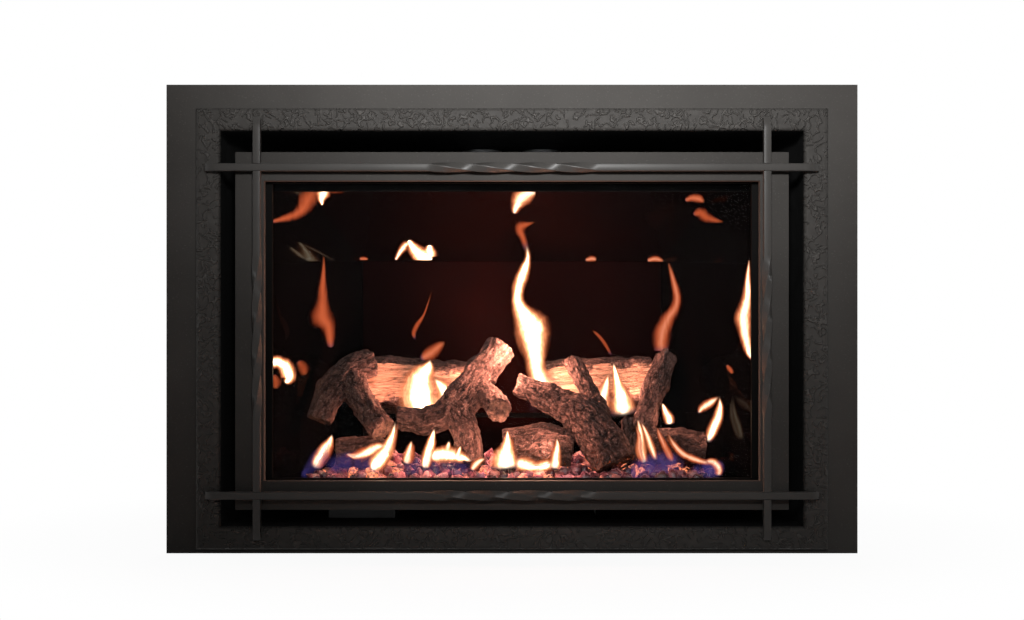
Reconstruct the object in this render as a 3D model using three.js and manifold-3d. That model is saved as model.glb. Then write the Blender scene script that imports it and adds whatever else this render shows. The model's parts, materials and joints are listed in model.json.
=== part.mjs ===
// Gas fireplace insert with a steel surround, a textured front frame and a lattice of four twisted bars.
// Millimetres. +X is the viewer's right, +Z is up, and the front faces -Y. While the pieces are made, y = 0
// is the face of the surround, which lies against the masonry; the whole is then centred in depth.
import * as THREE from "three";
import { mergeVertices } from "three/addons/utils/BufferGeometryUtils.js";
import Module from "manifold-3d";

const wasm = await Module();
wasm.setup();

// ---------------------------------------------------------------- driving dimensions

const SHEET = 2; // steel sheet of the casings
const SEAT = 0.3; // gap between pieces that rest on each other
const RUN = 0.4; // radial gap round a turning shaft

const SURROUND_WIDTH = 1190;
const SURROUND_TOP = 809;
const SURROUND_LIFT = 2; // its lower edge clears the hearth
const SURROUND_FOLD = 20; // depth of the folded edge

const FRAME_LAP = 4.5; // its inner edge covers the casing's edge by this
const FRAME_STILE = 41; // width of its upright bands
const FRAME_RAIL = 38.5; // width of its level bands
const FRAME_PROUD = 14; // how far it stands in front of the surround
const FRAME_ROUND = 5; // rounding of its edges
const FRAME_WALL = 3;
const STUD_RADIUS = 4; // locating studs on its back
const STUD_REACH = 10; // how far they pass into the surround
const STUD_HEIGHTS = [150, 640];

const TRIM_WIDTH = 950;
const TRIM_BOTTOM = 78;
const TRIM_TOP = 692;
const TRIM_BAND = 49.5;
const TRIM_PROUD = 10; // its face stands this far in front of the surround
const TRIM_DEPTH = 18;

const BAR = 12.7; // square bar
const BAR_EASE = 1.2; // eased corners of the bar
const BAR_CLEAR = 6; // the bars' backs stand this far in front of the textured frame
const BAR_INSET = 40.5; // upright bars from the trim's outer edge
const BAR_BELOW_TRIM_TOP = 28;
const BAR_ABOVE_TRIM_BOTTOM = 27;
const BAR_OVERHANG = 13.5; // the bars' ends pass the casing's edge by this, over the frame's band
const BAR_UNDERHANG = 12; // and the lower ends of the upright bars by this
const BAR_CURL = 24; // end stretch that bends back to the frame
const TWIST_LEVEL = 292; // length of the twisted stretch
const TWIST_UPRIGHT = 281;
const TWIST_UPRIGHT_Z = 374; // middle of the upright twists
const TWIST_TURNS = 1;
const TWIST_STEPS = 20;
const SPACER_RADIUS = 5;

const CASE_HALF = 505.5;
const CASE_STRAIGHT = 67; // depth of its parallel front part
const CASE_REAR_HALF = 345;
const CASE_DEPTH = 512;
const CASE_BOTTOM = 44.5;
const CASE_TOP = 733;
const GAS_ENTRY = 18; // radius of the hole for the supply pipe

const SKID_X = 300;
const SKID_WIDTH = 40;
const SKID_SETBACK = 4; // behind the fold of the surround
const SKID_SHORT = 20; // its rear end from the casing's rear
const SKID_WALL = 3;
const CROSS_WIDTH = 36;
const CROSS_HEIGHT = 20;
const LEVELLER_RADIUS = 5;
const LEVELLER_HEAD = 8.5;
const LEVELLER_INSET = 70; // from the ends of a skid
const LEVELLER_LIFT = 1; // the screws are wound in, clear of the hearth

const FIREBOX_Y = 31; // front flange
const FIREBOX_CLEAR = 82; // from the rear liner's face to the casing's rear
const FIREBOX_FRONT_HALF = 426; // inner face of the side liners at the flange
const FIREBOX_REAR_HALF = 303;
const FIREBOX_FLOOR_Z = 112;
const CEILING_Z = 650; // level front part of the ceiling
const CEILING_REAR_Z = 520;
const CEILING_SLOPE = 27.2; // degrees, of its rear part
const LINER = 5; // black glass liner panels
const FLANGE_MARGIN = 20; // its front flange reaches past the door by this
const MOUTH_MARGIN = 2; // its mouth is wider than the door's sight opening by this
const LINTEL_Y = 40;
const LINTEL_DEPTH = 16;
const LINTEL_EDGE_Z = 629;

const DOOR_Y = 12; // front face of the door frame
const DOOR_LAP = 21; // it reaches behind the trim by this
const DOOR_DEPTH = 17;
const DOOR_STILE = 32;
const DOOR_RAIL = 23.5;
const GLASS = 5;
const GLASS_LAP = 10; // the glass edge from the door frame's outer edge
const GLASS_SETBACK = 8; // from the door frame's face
const GASKET_BAND = 11;
const PIVOT_X = 300;
const PIVOT_DROP = 5.5; // pivot axis below the door frame
const PIVOT_SETBACK = 2; // pivot axis behind the door's face
const PIVOT_RADIUS = 3;
const LUG_WIDTH = 12;
const LUG_WALL = 2.6;
const PIVOT_PLATE = 22;
const CLIP_X = 250;
const CLIP_WIDTH = 34;
const CLIP_HEIGHT = 18;
const CLIP_THICK = 1.5;

const BURNER_Y = 58; // front rim
const BURNER_REAR_Y = 258;
const BURNER_FRONT_HALF = 366;
const BURNER_REAR_HALF = 304;
const BURNER_WALL = 1.5;
const BURNER_RIM = 12;
const BED_FRONT_Z = 126;
const BED_REAR_Z = 146;
const BED_RIPPLE = 1.6;

const VENTURI_X = 40; // riser into the burner
const VENTURI_Y = 150;
const VENTURI_Z = 80;
const VENTURI_RADIUS = 11;
const VENTURI_WALL = 1.5;
const VENTURI_MOUTH_X = 116;
const SHUTTER_LENGTH = 16;
const SHUTTER_WALL = 1.5;
const AIR_WINDOW = 8; // width of the air windows

const SHELF_HALF = 286;
const SHELF_Y = 266;
const SHELF_DEPTH = 110;
const SHELF_TOP = 217;
const LOG_GAP = 0.5; // between logs, which are notched where they cross
const SPLIT_LEFT = [-190, 268, 290]; // a point on the split face of each rear log
const SPLIT_RIGHT = [160, 268, 290];
const SPLIT_FACES = [0, -1, 0.35]; // towards the glass and a little up

const PILOT_SETBACK = 16; // behind the burner's rear
const PILOT_HEIGHT = 52;
const PILOT_RADIUS = 6;
const PILOT_HOOD_RADIUS = 9;
const PILOT_FOOT_HALF = 34;
const PILOT_FOOT_FRONT = 10;
const PILOT_FOOT_REAR = 24;
const PILOT_POST_SETBACK = 4;
const PILOT_POST_HEIGHT = 40;
const PROBE_X = 18; // electrode and thermocouple from the pilot's middle
const PROBE_RADIUS = 3.5;
const ELECTRODE_HEIGHT = 56;
const THERMOCOUPLE_HEIGHT = 54;

const VALVE_X = 152;
const VALVE_WIDTH = 104;
const VALVE_DEPTH = 84;
const VALVE_HEIGHT = 46;
const REGULATOR_RADIUS = 17;
const REGULATOR_RISE = 10; // above the valve's body
const INLET_LENGTH = 24;
const INLET_RADIUS = 11;
const PANEL_Y = 100;
const PANEL_X = 150;
const PANEL_WIDTH = 270;
const PANEL_HEIGHT = 58;
const PANEL_FOOT_CLEAR = 30; // from the valve
const PANEL_FOOT_DEPTH = 40;
const KNOB_RADIUS = 13;
const KNOB_LENGTH = 15;
const KNOB_SHAFT = 3;
const KNOB_FLUTES = 8;
const STEM_DEPTH = 3; // how far a knob's stem enters what it turns
const KNOB_Z = 79;
const VALVE_KNOB_X = 178;
const FLAME_KNOB_X = 228;
const BUTTON_X = 282;
const BUTTON_RADIUS = 6;
const BUTTON_TRAVEL = 5;
const SWITCH_X = 332;
const SWITCH_WIDTH = 14;
const SWITCH_HEIGHT = 24;
const SWITCH_DEPTH = 12;
const SWITCH_PLAY = 1.6; // room above and below it for its rocking
const FAN_KNOB_INSET = 34; // from the end of the panel
const FAN_CONTROL_DEPTH = 16;
const FAN_CONTROL_RADIUS = 14;
const TERMINAL_WIDTH = 18;
const TERMINAL_RISE = 22; // above the knob's axis

const MODULE_X = -330; // ignition module, left of the burner's tube
const MODULE_Y = 110;
const MODULE_WIDTH = 120;
const MODULE_DEPTH = 80;
const MODULE_HEIGHT = 38;
const LID = 3;
const LID_LIP = 4;

const WHEEL_RADIUS = 27;
const WHEEL_LENGTH = 86;
const WHEEL_BLADES = 16;
const WHEEL_INSET = 36; // from the casing's rear
const WHEEL_Z = 84;
const BLOWER_SHAFT = 4;
const MOTOR_RADIUS = 24;
const MOTOR_LENGTH = 62;
const MOTOR_GAP = 6; // motor to wheel
const SCROLL_CLEAR = 3.5;
const SCROLL_WALL = 1.5;

const COLLAR_RADIUS = 38; // vent pipe collars
const COLLAR_WALL = 1.5;
const COLLAR_X = 58;
const COLLAR_Y = 330;
const COLLAR_RISE = 42; // above the casing

// ---------------------------------------------------------------- places that follow from them

const BAR_X = TRIM_WIDTH / 2 - BAR_INSET;
const BAR_UPPER_Z = TRIM_TOP - BAR_BELOW_TRIM_TOP;
const BAR_LOWER_Z = TRIM_BOTTOM + BAR_ABOVE_TRIM_BOTTOM;
const BAR_LEVEL_LENGTH = 2 * (CASE_HALF + BAR_OVERHANG);
const BAR_UPRIGHT_BOTTOM = CASE_BOTTOM - BAR_UNDERHANG;
const BAR_UPRIGHT_TOP = CASE_TOP + BAR_OVERHANG;
const SKID_REAR = CASE_DEPTH - SKID_SHORT;
const FIREBOX_REAR_Y = CASE_DEPTH - FIREBOX_CLEAR;
const WHEEL_Y = CASE_DEPTH - WHEEL_INSET;
const BAR_Y = -(FRAME_PROUD + BAR_CLEAR + BAR / 2);
const CASE_FRONT = SHEET + SEAT;
const SKID_FRONT = SURROUND_FOLD + SKID_SETBACK;
const DOOR_BACK = DOOR_Y + DOOR_DEPTH;
const GLASS_Y = DOOR_Y + GLASS_SETBACK;
const PIVOT_Y = DOOR_Y + PIVOT_SETBACK;
const SIDE_SPLAY = (FIREBOX_FRONT_HALF - FIREBOX_REAR_HALF) / (FIREBOX_REAR_Y - FIREBOX_Y);
const SIDE_STRETCH = Math.hypot(1, SIDE_SPLAY);
const SLOPE = Math.tan(THREE.MathUtils.degToRad(CEILING_SLOPE));
const SLOPE_STRETCH = Math.hypot(1, SLOPE);
const BURNER_FLOOR_Z = FIREBOX_FLOOR_Z + SEAT;
const FAN_KNOB_X = PANEL_X + PANEL_WIDTH - FAN_KNOB_INSET;
const BAR_REACH = Math.hypot(BAR / 2, BAR / 2 - BAR_EASE);
const MID_DEPTH = (BAR_Y - BAR_REACH + CASE_DEPTH) / 2;

// ---------------------------------------------------------------- solids

function solidOf(geometry) {
  const plain = geometry.clone();
  plain.deleteAttribute("normal");
  plain.deleteAttribute("uv");
  const merged = mergeVertices(plain, 1e-4);
  return new wasm.Manifold(
    new wasm.Mesh({
      numProp: 3,
      vertProperties: new Float32Array(merged.attributes.position.array),
      triVerts: new Uint32Array(merged.index.array),
    }),
  );
}

function geometryOf(solid) {
  const mesh = solid.getMesh();
  const geometry = new THREE.BufferGeometry();
  geometry.setAttribute("position", new THREE.BufferAttribute(mesh.vertProperties, 3));
  geometry.setIndex(new THREE.BufferAttribute(mesh.triVerts, 1));
  geometry.computeVertexNormals();
  return geometry;
}

function join(...solids) {
  return solids.reduce((whole, piece) => whole.add(piece));
}

function cut(solid, ...tools) {
  return tools.reduce((left, tool) => left.subtract(tool), solid);
}

// The biggest of the bodies that a cut leaves.
function mainBody(solid) {
  return solid.decompose().reduce((most, body) => (body.volume() > most.volume() ? body : most));
}

function box(x0, x1, y0, y1, z0, z1) {
  const geometry = new THREE.BoxGeometry(x1 - x0, y1 - y0, z1 - z0);
  geometry.translate((x0 + x1) / 2, (y0 + y1) / 2, (z0 + z1) / 2);
  return solidOf(geometry);
}

const AXES = {
  x: (geometry) => geometry.rotateZ(-Math.PI / 2),
  y: (geometry) => geometry,
  z: (geometry) => geometry.rotateX(Math.PI / 2),
};

// A round bar from a start point, along one axis.
function rod(axis, [x, y, z], length, radius, sides = 16) {
  const geometry = new THREE.CylinderGeometry(radius, radius, length, sides);
  AXES[axis](geometry);
  const half = { x: 0, y: 0, z: 0 };
  half[axis] = length / 2;
  geometry.translate(x + half.x, y + half.y, z + half.z);
  return solidOf(geometry);
}

function shapeOf(points) {
  return new THREE.Shape(points.map(([a, b]) => new THREE.Vector2(a, b)));
}

function extruded(shape, depth, bevel = {}) {
  return new THREE.ExtrudeGeometry(shape, { depth, bevelEnabled: false, curveSegments: 8, ...bevel });
}

// An outline in plan, given as [x, y], between two heights.
function plan(points, z0, z1) {
  return solidOf(extruded(shapeOf(points), z1 - z0).translate(0, 0, z0));
}

// An outline seen from the side, given as [y, z], between two places across the width.
function profile(points, x0, x1) {
  const turn = new THREE.Matrix4().makeBasis(
    new THREE.Vector3(0, 1, 0),
    new THREE.Vector3(0, 0, 1),
    new THREE.Vector3(1, 0, 0),
  );
  return solidOf(extruded(shapeOf(points), x1 - x0).applyMatrix4(turn).translate(x0, 0, 0));
}

// A rectangular ring, or with no inner edge a plate, seen from the front.
function ring(outer, inner, y0, y1) {
  const plate = ({ half, bottom, top }, from, to) => box(-half, half, from, to, bottom, top);
  return cut(plate(outer, y0, y1), plate(inner, y0 - 1, y1 + 1));
}

function inset({ half, bottom, top }, by) {
  return { half: half - by, bottom: bottom + by, top: top - by };
}

// Skins a row of equal closed outlines and closes both ends.
function loft(rings) {
  const sides = rings[0].length;
  const points = rings.flat();
  const index = [];
  for (let i = 0; i < rings.length - 1; i += 1) {
    for (let j = 0; j < sides; j += 1) {
      const a = i * sides + j;
      const b = i * sides + ((j + 1) % sides);
      index.push(a, b, b + sides, a, b + sides, a + sides);
    }
  }
  for (const [first, forward] of [[0, false], [(rings.length - 1) * sides, true]]) {
    const outline = points.slice(first, first + sides);
    const middle = outline.reduce((sum, p) => sum.add(p), new THREE.Vector3()).divideScalar(sides);
    points.push(middle);
    const hub = points.length - 1;
    for (let j = 0; j < sides; j += 1) {
      const a = first + j;
      const b = first + ((j + 1) % sides);
      index.push(...(forward ? [a, b, hub] : [b, a, hub]));
    }
  }
  const geometry = new THREE.BufferGeometry().setFromPoints(points);
  geometry.setIndex(index);
  const solid = solidOf(geometry);
  if (solid.volume() > 0) return solid;
  for (let i = 0; i < index.length; i += 3) [index[i], index[i + 1]] = [index[i + 1], index[i]];
  geometry.setIndex(index);
  return solidOf(geometry);
}

// ---------------------------------------------------------------- finishes

const FINISHES = {
  charcoal: { color: 0x2b2a28, roughness: 0.55, metalness: 0.35 },
  blackSteel: { color: 0x161616, roughness: 0.6, metalness: 0.4 },
  galvanised: { color: 0x8d9092, roughness: 0.45, metalness: 0.8 },
  blackGlass: { color: 0x050505, roughness: 0.08, metalness: 0 },
  clearGlass: { color: 0x9aa4a6, roughness: 0.03, metalness: 0, transparent: true, opacity: 0.25 },
  rope: { color: 0x8a8780, roughness: 0.95, metalness: 0 },
  bark: { color: 0x4a3527, roughness: 0.95, metalness: 0 },
  embers: { color: 0x3a3340, roughness: 0.4, metalness: 0 },
  stainless: { color: 0xa9aaa8, roughness: 0.35, metalness: 0.9 },
  brass: { color: 0xb08d4a, roughness: 0.35, metalness: 0.9 },
  blackPlastic: { color: 0x141414, roughness: 0.5, metalness: 0 },
  zinc: { color: 0x9a9a96, roughness: 0.4, metalness: 0.85 },
};

const insert = new THREE.Group();
insert.position.y = -MID_DEPTH;

function add(name, solid, finish) {
  const mesh = new THREE.Mesh(geometryOf(solid), new THREE.MeshStandardMaterial(FINISHES[finish]));
  mesh.name = name;
  insert.add(mesh);
}

// ---------------------------------------------------------------- openings and edges seen from the front

const caseEdge = { half: CASE_HALF, bottom: CASE_BOTTOM, top: CASE_TOP };
const frameInner = inset(caseEdge, FRAME_LAP);
const caseMouth = inset(caseEdge, SHEET);
const frameOuter = {
  half: frameInner.half + FRAME_STILE,
  bottom: frameInner.bottom - FRAME_RAIL,
  top: frameInner.top + FRAME_RAIL,
};
const trimOuter = { half: TRIM_WIDTH / 2, bottom: TRIM_BOTTOM, top: TRIM_TOP };
const trimInner = inset(trimOuter, TRIM_BAND);
const doorOuter = inset(trimInner, -DOOR_LAP);
const doorSight = {
  half: doorOuter.half - DOOR_STILE,
  bottom: doorOuter.bottom + DOOR_RAIL,
  top: doorOuter.top - DOOR_RAIL,
};
const glassEdge = inset(doorOuter, GLASS_LAP);
const flangeEdge = inset(doorOuter, -FLANGE_MARGIN);
const PIVOT_Z = doorOuter.bottom - PIVOT_DROP;

// ---------------------------------------------------------------- surround and casing

function studPlaces() {
  const x = (frameOuter.half + Math.max(frameInner.half, CASE_HALF)) / 2;
  return STUD_HEIGHTS.flatMap((z) => [[-x, z], [x, z]]);
}

function surroundPanel() {
  const outer = { half: SURROUND_WIDTH / 2, bottom: SURROUND_LIFT, top: SURROUND_TOP };
  const face = ring(outer, caseMouth, 0, SHEET);
  const fold = ring(outer, inset(outer, SHEET), 0, SURROUND_FOLD);
  const holes = studPlaces().map(([x, z]) => rod("y", [x, -1, z], SHEET + 2, STUD_RADIUS + SEAT));
  return cut(join(face, fold), ...holes);
}

function caseOutline(wall, front) {
  const half = CASE_HALF - wall;
  const rear = CASE_REAR_HALF - wall;
  const back = CASE_DEPTH - wall;
  return [[-half, front], [half, front], [half, CASE_STRAIGHT], [rear, back], [-rear, back], [-half, CASE_STRAIGHT]];
}

function collarPlaces() {
  return [-COLLAR_X, COLLAR_X];
}

// Sides, rear and floor. The top is a sheet of its own that lies on their upper edge.
function outerCase() {
  const rim = CASE_TOP - SHEET - SEAT;
  const shell = cut(
    plan(caseOutline(0, CASE_FRONT), CASE_BOTTOM, rim),
    plan(caseOutline(SHEET, CASE_FRONT - 1), CASE_BOTTOM + SHEET, rim + 1),
  );
  const gasEntry = rod("x", [CASE_HALF - GAS_ENTRY, PANEL_Y + VALVE_DEPTH / 2, KNOB_Z], 2 * GAS_ENTRY, GAS_ENTRY);
  return cut(shell, gasEntry);
}

function caseTop() {
  const vents = collarPlaces().map((x) =>
    rod("z", [x, COLLAR_Y, CASE_TOP - SHEET - 1], SHEET + 2, COLLAR_RADIUS + SEAT, 20),
  );
  return cut(plan(caseOutline(0, CASE_FRONT), CASE_TOP - SHEET, CASE_TOP), ...vents);
}

function baseFrame() {
  const top = CASE_BOTTOM - SEAT;
  const levellers = levellerPlaces().map(([x, y]) =>
    rod("z", [x, y, -1], SKID_WALL + 2, LEVELLER_RADIUS + SEAT, 12),
  );
  const skids = [-1, 1].map((side) => {
    const outer = side * (SKID_X + SKID_WIDTH / 2);
    const inner = side * (SKID_X - SKID_WIDTH / 2);
    const web = outer - side * SKID_WALL;
    const body = box(Math.min(outer, inner), Math.max(outer, inner), SKID_FRONT, SKID_REAR, 0, top);
    const hollow = box(
      Math.min(web, inner - side),
      Math.max(web, inner - side),
      SKID_FRONT - 1,
      SKID_REAR + 1,
      SKID_WALL,
      top - SKID_WALL,
    );
    return cut(body, hollow);
  });
  const reach = SKID_X - SKID_WIDTH / 2 + SKID_WALL;
  const crosses = [SKID_FRONT + CROSS_WIDTH, SKID_REAR - 2 * CROSS_WIDTH].map((y) =>
    cut(
      box(-reach, reach, y, y + CROSS_WIDTH, 0, CROSS_HEIGHT),
      box(-reach - 1, reach + 1, y + SKID_WALL, y + CROSS_WIDTH - SKID_WALL, SKID_WALL, CROSS_HEIGHT + 1),
    ),
  );
  return cut(join(...skids, ...crosses), ...levellers);
}

function levellerPlaces() {
  const ends = [SKID_FRONT + LEVELLER_INSET + CROSS_WIDTH, SKID_REAR - LEVELLER_INSET - 2 * CROSS_WIDTH];
  return ends.flatMap((y) => [[-SKID_X, y], [SKID_X, y]]);
}

function levellingScrew([x, y]) {
  const shank = rod("z", [x, y, LEVELLER_LIFT], CASE_BOTTOM - SKID_WALL - LEVELLER_LIFT - 6, LEVELLER_RADIUS, 12);
  const head = rod("z", [x, y, SKID_WALL + SEAT], 6, LEVELLER_HEAD, 6);
  return join(shank, head);
}

function ventCollar(x) {
  const bottom = ceilingAt(COLLAR_Y) + (2 * LINER + SHEET) * SLOPE_STRETCH;
  const height = CASE_TOP + COLLAR_RISE - bottom;
  const tube = cut(
    rod("z", [x, COLLAR_Y, bottom - COLLAR_RADIUS * 2], height + COLLAR_RADIUS * 2, COLLAR_RADIUS, 20),
    rod("z", [x, COLLAR_Y, bottom - COLLAR_RADIUS * 3], height + COLLAR_RADIUS * 4, COLLAR_RADIUS - COLLAR_WALL, 20),
    belowCeiling(LINER + SHEET + 2 * SEAT),
  );
  const bead = cut(
    rod("z", [x, COLLAR_Y, CASE_TOP + SEAT], COLLAR_WALL, COLLAR_RADIUS + 6, 20),
    rod("z", [x, COLLAR_Y, CASE_TOP - 1], COLLAR_WALL + 3, COLLAR_RADIUS - COLLAR_WALL / 2, 20),
  );
  return join(tube, bead);
}

// ---------------------------------------------------------------- firebox

function sideAt(y) {
  return FIREBOX_FRONT_HALF - (y - FIREBOX_Y) * SIDE_SPLAY;
}

function ceilingAt(y) {
  return CEILING_REAR_Z + (FIREBOX_REAR_Y - y) * SLOPE;
}

// The splayed plan of the firebox, moved out by an offset.
function fireboxPlan(offset, front, z0, z1) {
  const rear = FIREBOX_REAR_Y + offset;
  const nearHalf = sideAt(front) + offset * SIDE_STRETCH;
  const farHalf = sideAt(rear) + offset * SIDE_STRETCH;
  return plan([[-nearHalf, front], [nearHalf, front], [farHalf, rear], [-farHalf, rear]], z0, z1);
}

// All that lies under the ceiling, which is level at the front and slopes down to the rear.
function belowCeiling(offset) {
  const low = -CASE_DEPTH / 10;
  const far = CASE_DEPTH * 1.2;
  const level = CEILING_Z + offset;
  const bend = FIREBOX_REAR_Y - (level - CEILING_REAR_Z - offset * SLOPE_STRETCH) / SLOPE;
  const end = ceilingAt(far) + offset * SLOPE_STRETCH;
  return profile([[low, low], [far, low], [far, end], [bend, level], [low, level]], -CASE_HALF, CASE_HALF);
}

function fireboxSpace(offset, front, floor) {
  return fireboxPlan(offset, front, floor, CASE_TOP).intersect(belowCeiling(offset));
}

function fireboxShell() {
  const inner = LINER + SEAT;
  const shell = cut(
    fireboxSpace(inner + SHEET, FIREBOX_Y, FIREBOX_FLOOR_Z - SHEET),
    fireboxSpace(inner, FIREBOX_Y - 1, FIREBOX_FLOOR_Z),
  );
  const flange = ring(flangeEdge, inset(doorSight, -MOUTH_MARGIN), FIREBOX_Y, FIREBOX_Y + SHEET);
  const riser = rod("z", [VENTURI_X, VENTURI_Y, FIREBOX_FLOOR_Z - SHEET - 1], SHEET + 2, VENTURI_RADIUS + SEAT);
  return cut(join(shell, flange), riser);
}

function sideLiner(side) {
  const front = FIREBOX_Y + SHEET + SEAT;
  const rear = FIREBOX_REAR_Y + LINER;
  const thick = LINER * SIDE_STRETCH;
  const outline = [
    [side * sideAt(front), front],
    [side * (sideAt(front) + thick), front],
    [side * (sideAt(rear) + thick), rear],
    [side * sideAt(rear), rear],
  ];
  const panel = plan(side > 0 ? outline : outline.reverse(), FIREBOX_FLOOR_Z + SEAT, CASE_TOP);
  return panel.intersect(belowCeiling(-SEAT));
}

function rearLiner() {
  const half = sideAt(FIREBOX_REAR_Y + LINER) - SEAT;
  const panel = box(-half, half, FIREBOX_REAR_Y, FIREBOX_REAR_Y + LINER, FIREBOX_FLOOR_Z + SEAT, CASE_TOP);
  return panel.intersect(belowCeiling(-SEAT));
}

function ceilingLiner() {
  const slab = cut(belowCeiling(LINER), belowCeiling(0));
  return slab.intersect(fireboxPlan(LINER, FIREBOX_Y + SHEET + SEAT, 0, CASE_TOP));
}

function lintelBaffle() {
  const back = LINTEL_Y + LINTEL_DEPTH;
  const top = CEILING_Z - SEAT;
  const outline = [
    [LINTEL_Y, LINTEL_EDGE_Z],
    [back, LINTEL_EDGE_Z],
    [back, top],
    [back - SHEET, top],
    [back - SHEET, LINTEL_EDGE_Z + SHEET],
    [LINTEL_Y, LINTEL_EDGE_Z + SHEET],
  ];
  const half = sideAt(back) - SEAT;
  return profile(outline, -half, half);
}

// ---------------------------------------------------------------- glass door

function glassDoorFrame() {
  const frame = ring(doorOuter, doorSight, DOOR_Y, DOOR_BACK);
  const { half, bottom, top } = inset(glassEdge, -SEAT);
  const rebate = box(-half, half, GLASS_Y - SEAT, DOOR_BACK + 1, bottom, top);
  const lugs = [-1, 1].map((side) => {
    const x = side * PIVOT_X - LUG_WIDTH / 2;
    const reach = PIVOT_RADIUS + SEAT + LUG_WALL;
    const eye = rod("x", [x, PIVOT_Y, PIVOT_Z], LUG_WIDTH, reach);
    const neck = box(x, x + LUG_WIDTH, DOOR_Y, PIVOT_Y + reach, PIVOT_Z, doorOuter.bottom + 1);
    return join(eye, neck);
  });
  const bores = [-1, 1].map((side) =>
    rod("x", [side * PIVOT_X - LUG_WIDTH, PIVOT_Y, PIVOT_Z], 2 * LUG_WIDTH, PIVOT_RADIUS + SEAT),
  );
  return cut(join(cut(frame, rebate), ...lugs), ...bores);
}

function doorGlass() {
  const { half, bottom, top } = glassEdge;
  return box(-half, half, GLASS_Y, GLASS_Y + GLASS, bottom, top);
}

function doorGasket() {
  const front = GLASS_Y + GLASS + SEAT;
  const back = FIREBOX_Y - SEAT;
  const rope = ring(glassEdge, inset(glassEdge, GASKET_BAND), front, back);
  const round = ring(inset(glassEdge, -1), inset(glassEdge, GASKET_BAND / 5), back - 1, back + 1);
  return cut(rope, round);
}

// The arm ends below the door's lower edge, which comes down in front of the pivot as the door tilts.
function doorPivot(side) {
  const cheek = side * (PIVOT_X + LUG_WIDTH / 2 + SEAT);
  const outer = cheek + side * SHEET;
  const foot = outer + side * PIVOT_PLATE;
  const back = FIREBOX_Y - SEAT;
  const armTop = PIVOT_Z + PIVOT_RADIUS + SEAT;
  const arm = box(
    Math.min(cheek, outer),
    Math.max(cheek, outer),
    PIVOT_Y - PIVOT_RADIUS * 1.5,
    back,
    PIVOT_Z - PIVOT_RADIUS * 2,
    armTop,
  );
  const plate = box(
    Math.min(cheek, foot),
    Math.max(cheek, foot),
    back - CLIP_THICK,
    back,
    flangeEdge.bottom + 1,
    armTop,
  );
  const pinStart = Math.min(outer, cheek - side * (LUG_WIDTH + SEAT));
  const pin = rod("x", [pinStart, PIVOT_Y, PIVOT_Z], LUG_WIDTH + SEAT + SHEET, PIVOT_RADIUS);
  return join(arm, plate, pin);
}

// A spring leaf on the firebox flange that holds the door down at its top.
function doorClip(side) {
  const back = FIREBOX_Y - SEAT;
  const low = doorOuter.top + SEAT;
  const outline = [
    [back, low + CLIP_HEIGHT],
    [back - CLIP_THICK, low + CLIP_HEIGHT],
    [back - CLIP_THICK, low + 2 * CLIP_THICK],
    [DOOR_Y + 7, low + CLIP_THICK],
    [DOOR_Y + 2, low + 3 * CLIP_THICK],
    [DOOR_Y + 1, low + 2 * CLIP_THICK],
    [DOOR_Y + 6, low],
    [DOOR_Y + 9, low],
    [back, low + CLIP_THICK],
  ];
  const middle = side * CLIP_X;
  return profile(outline, middle - CLIP_WIDTH / 2, middle + CLIP_WIDTH / 2);
}

// ---------------------------------------------------------------- decorative front

function frontFrame() {
  const shape = shapeOf(cornersOf(inset(frameOuter, FRAME_ROUND)));
  shape.holes.push(new THREE.Path(cornersOf(inset(frameInner, -FRAME_ROUND)).map(([x, z]) => new THREE.Vector2(x, z))));
  const bevel = {
    bevelEnabled: true,
    bevelThickness: FRAME_ROUND,
    bevelSize: FRAME_ROUND,
    bevelSegments: 2,
  };
  const depth = FRAME_PROUD - SEAT;
  const band = solidOf(extruded(shape, depth, bevel).rotateX(Math.PI / 2).translate(0, depth - FRAME_PROUD + FRAME_ROUND, 0));
  const { half, bottom, top } = inset(frameOuter, -1);
  const back = box(-half, half, -SEAT, FRAME_PROUD, bottom, top);
  const hollow = ring(
    inset(frameOuter, FRAME_WALL),
    inset(frameInner, -FRAME_WALL),
    FRAME_WALL - FRAME_PROUD,
    1,
  );
  const studs = studPlaces().map(([x, z]) =>
    rod("y", [x, FRAME_WALL - FRAME_PROUD - 1, z], FRAME_PROUD - FRAME_WALL + 1 + STUD_REACH, STUD_RADIUS),
  );
  return join(cut(band, back, hollow), ...studs);
}

function cornersOf({ half, bottom, top }) {
  return [[-half, bottom], [half, bottom], [half, top], [-half, top]];
}

function innerTrimFrame() {
  const front = -TRIM_PROUD;
  const back = front + TRIM_DEPTH;
  const channel = ring(inset(trimOuter, SHEET), inset(trimInner, -SHEET), front + SHEET, back + 1);
  return cut(ring(trimOuter, trimInner, front, back), channel);
}

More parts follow.
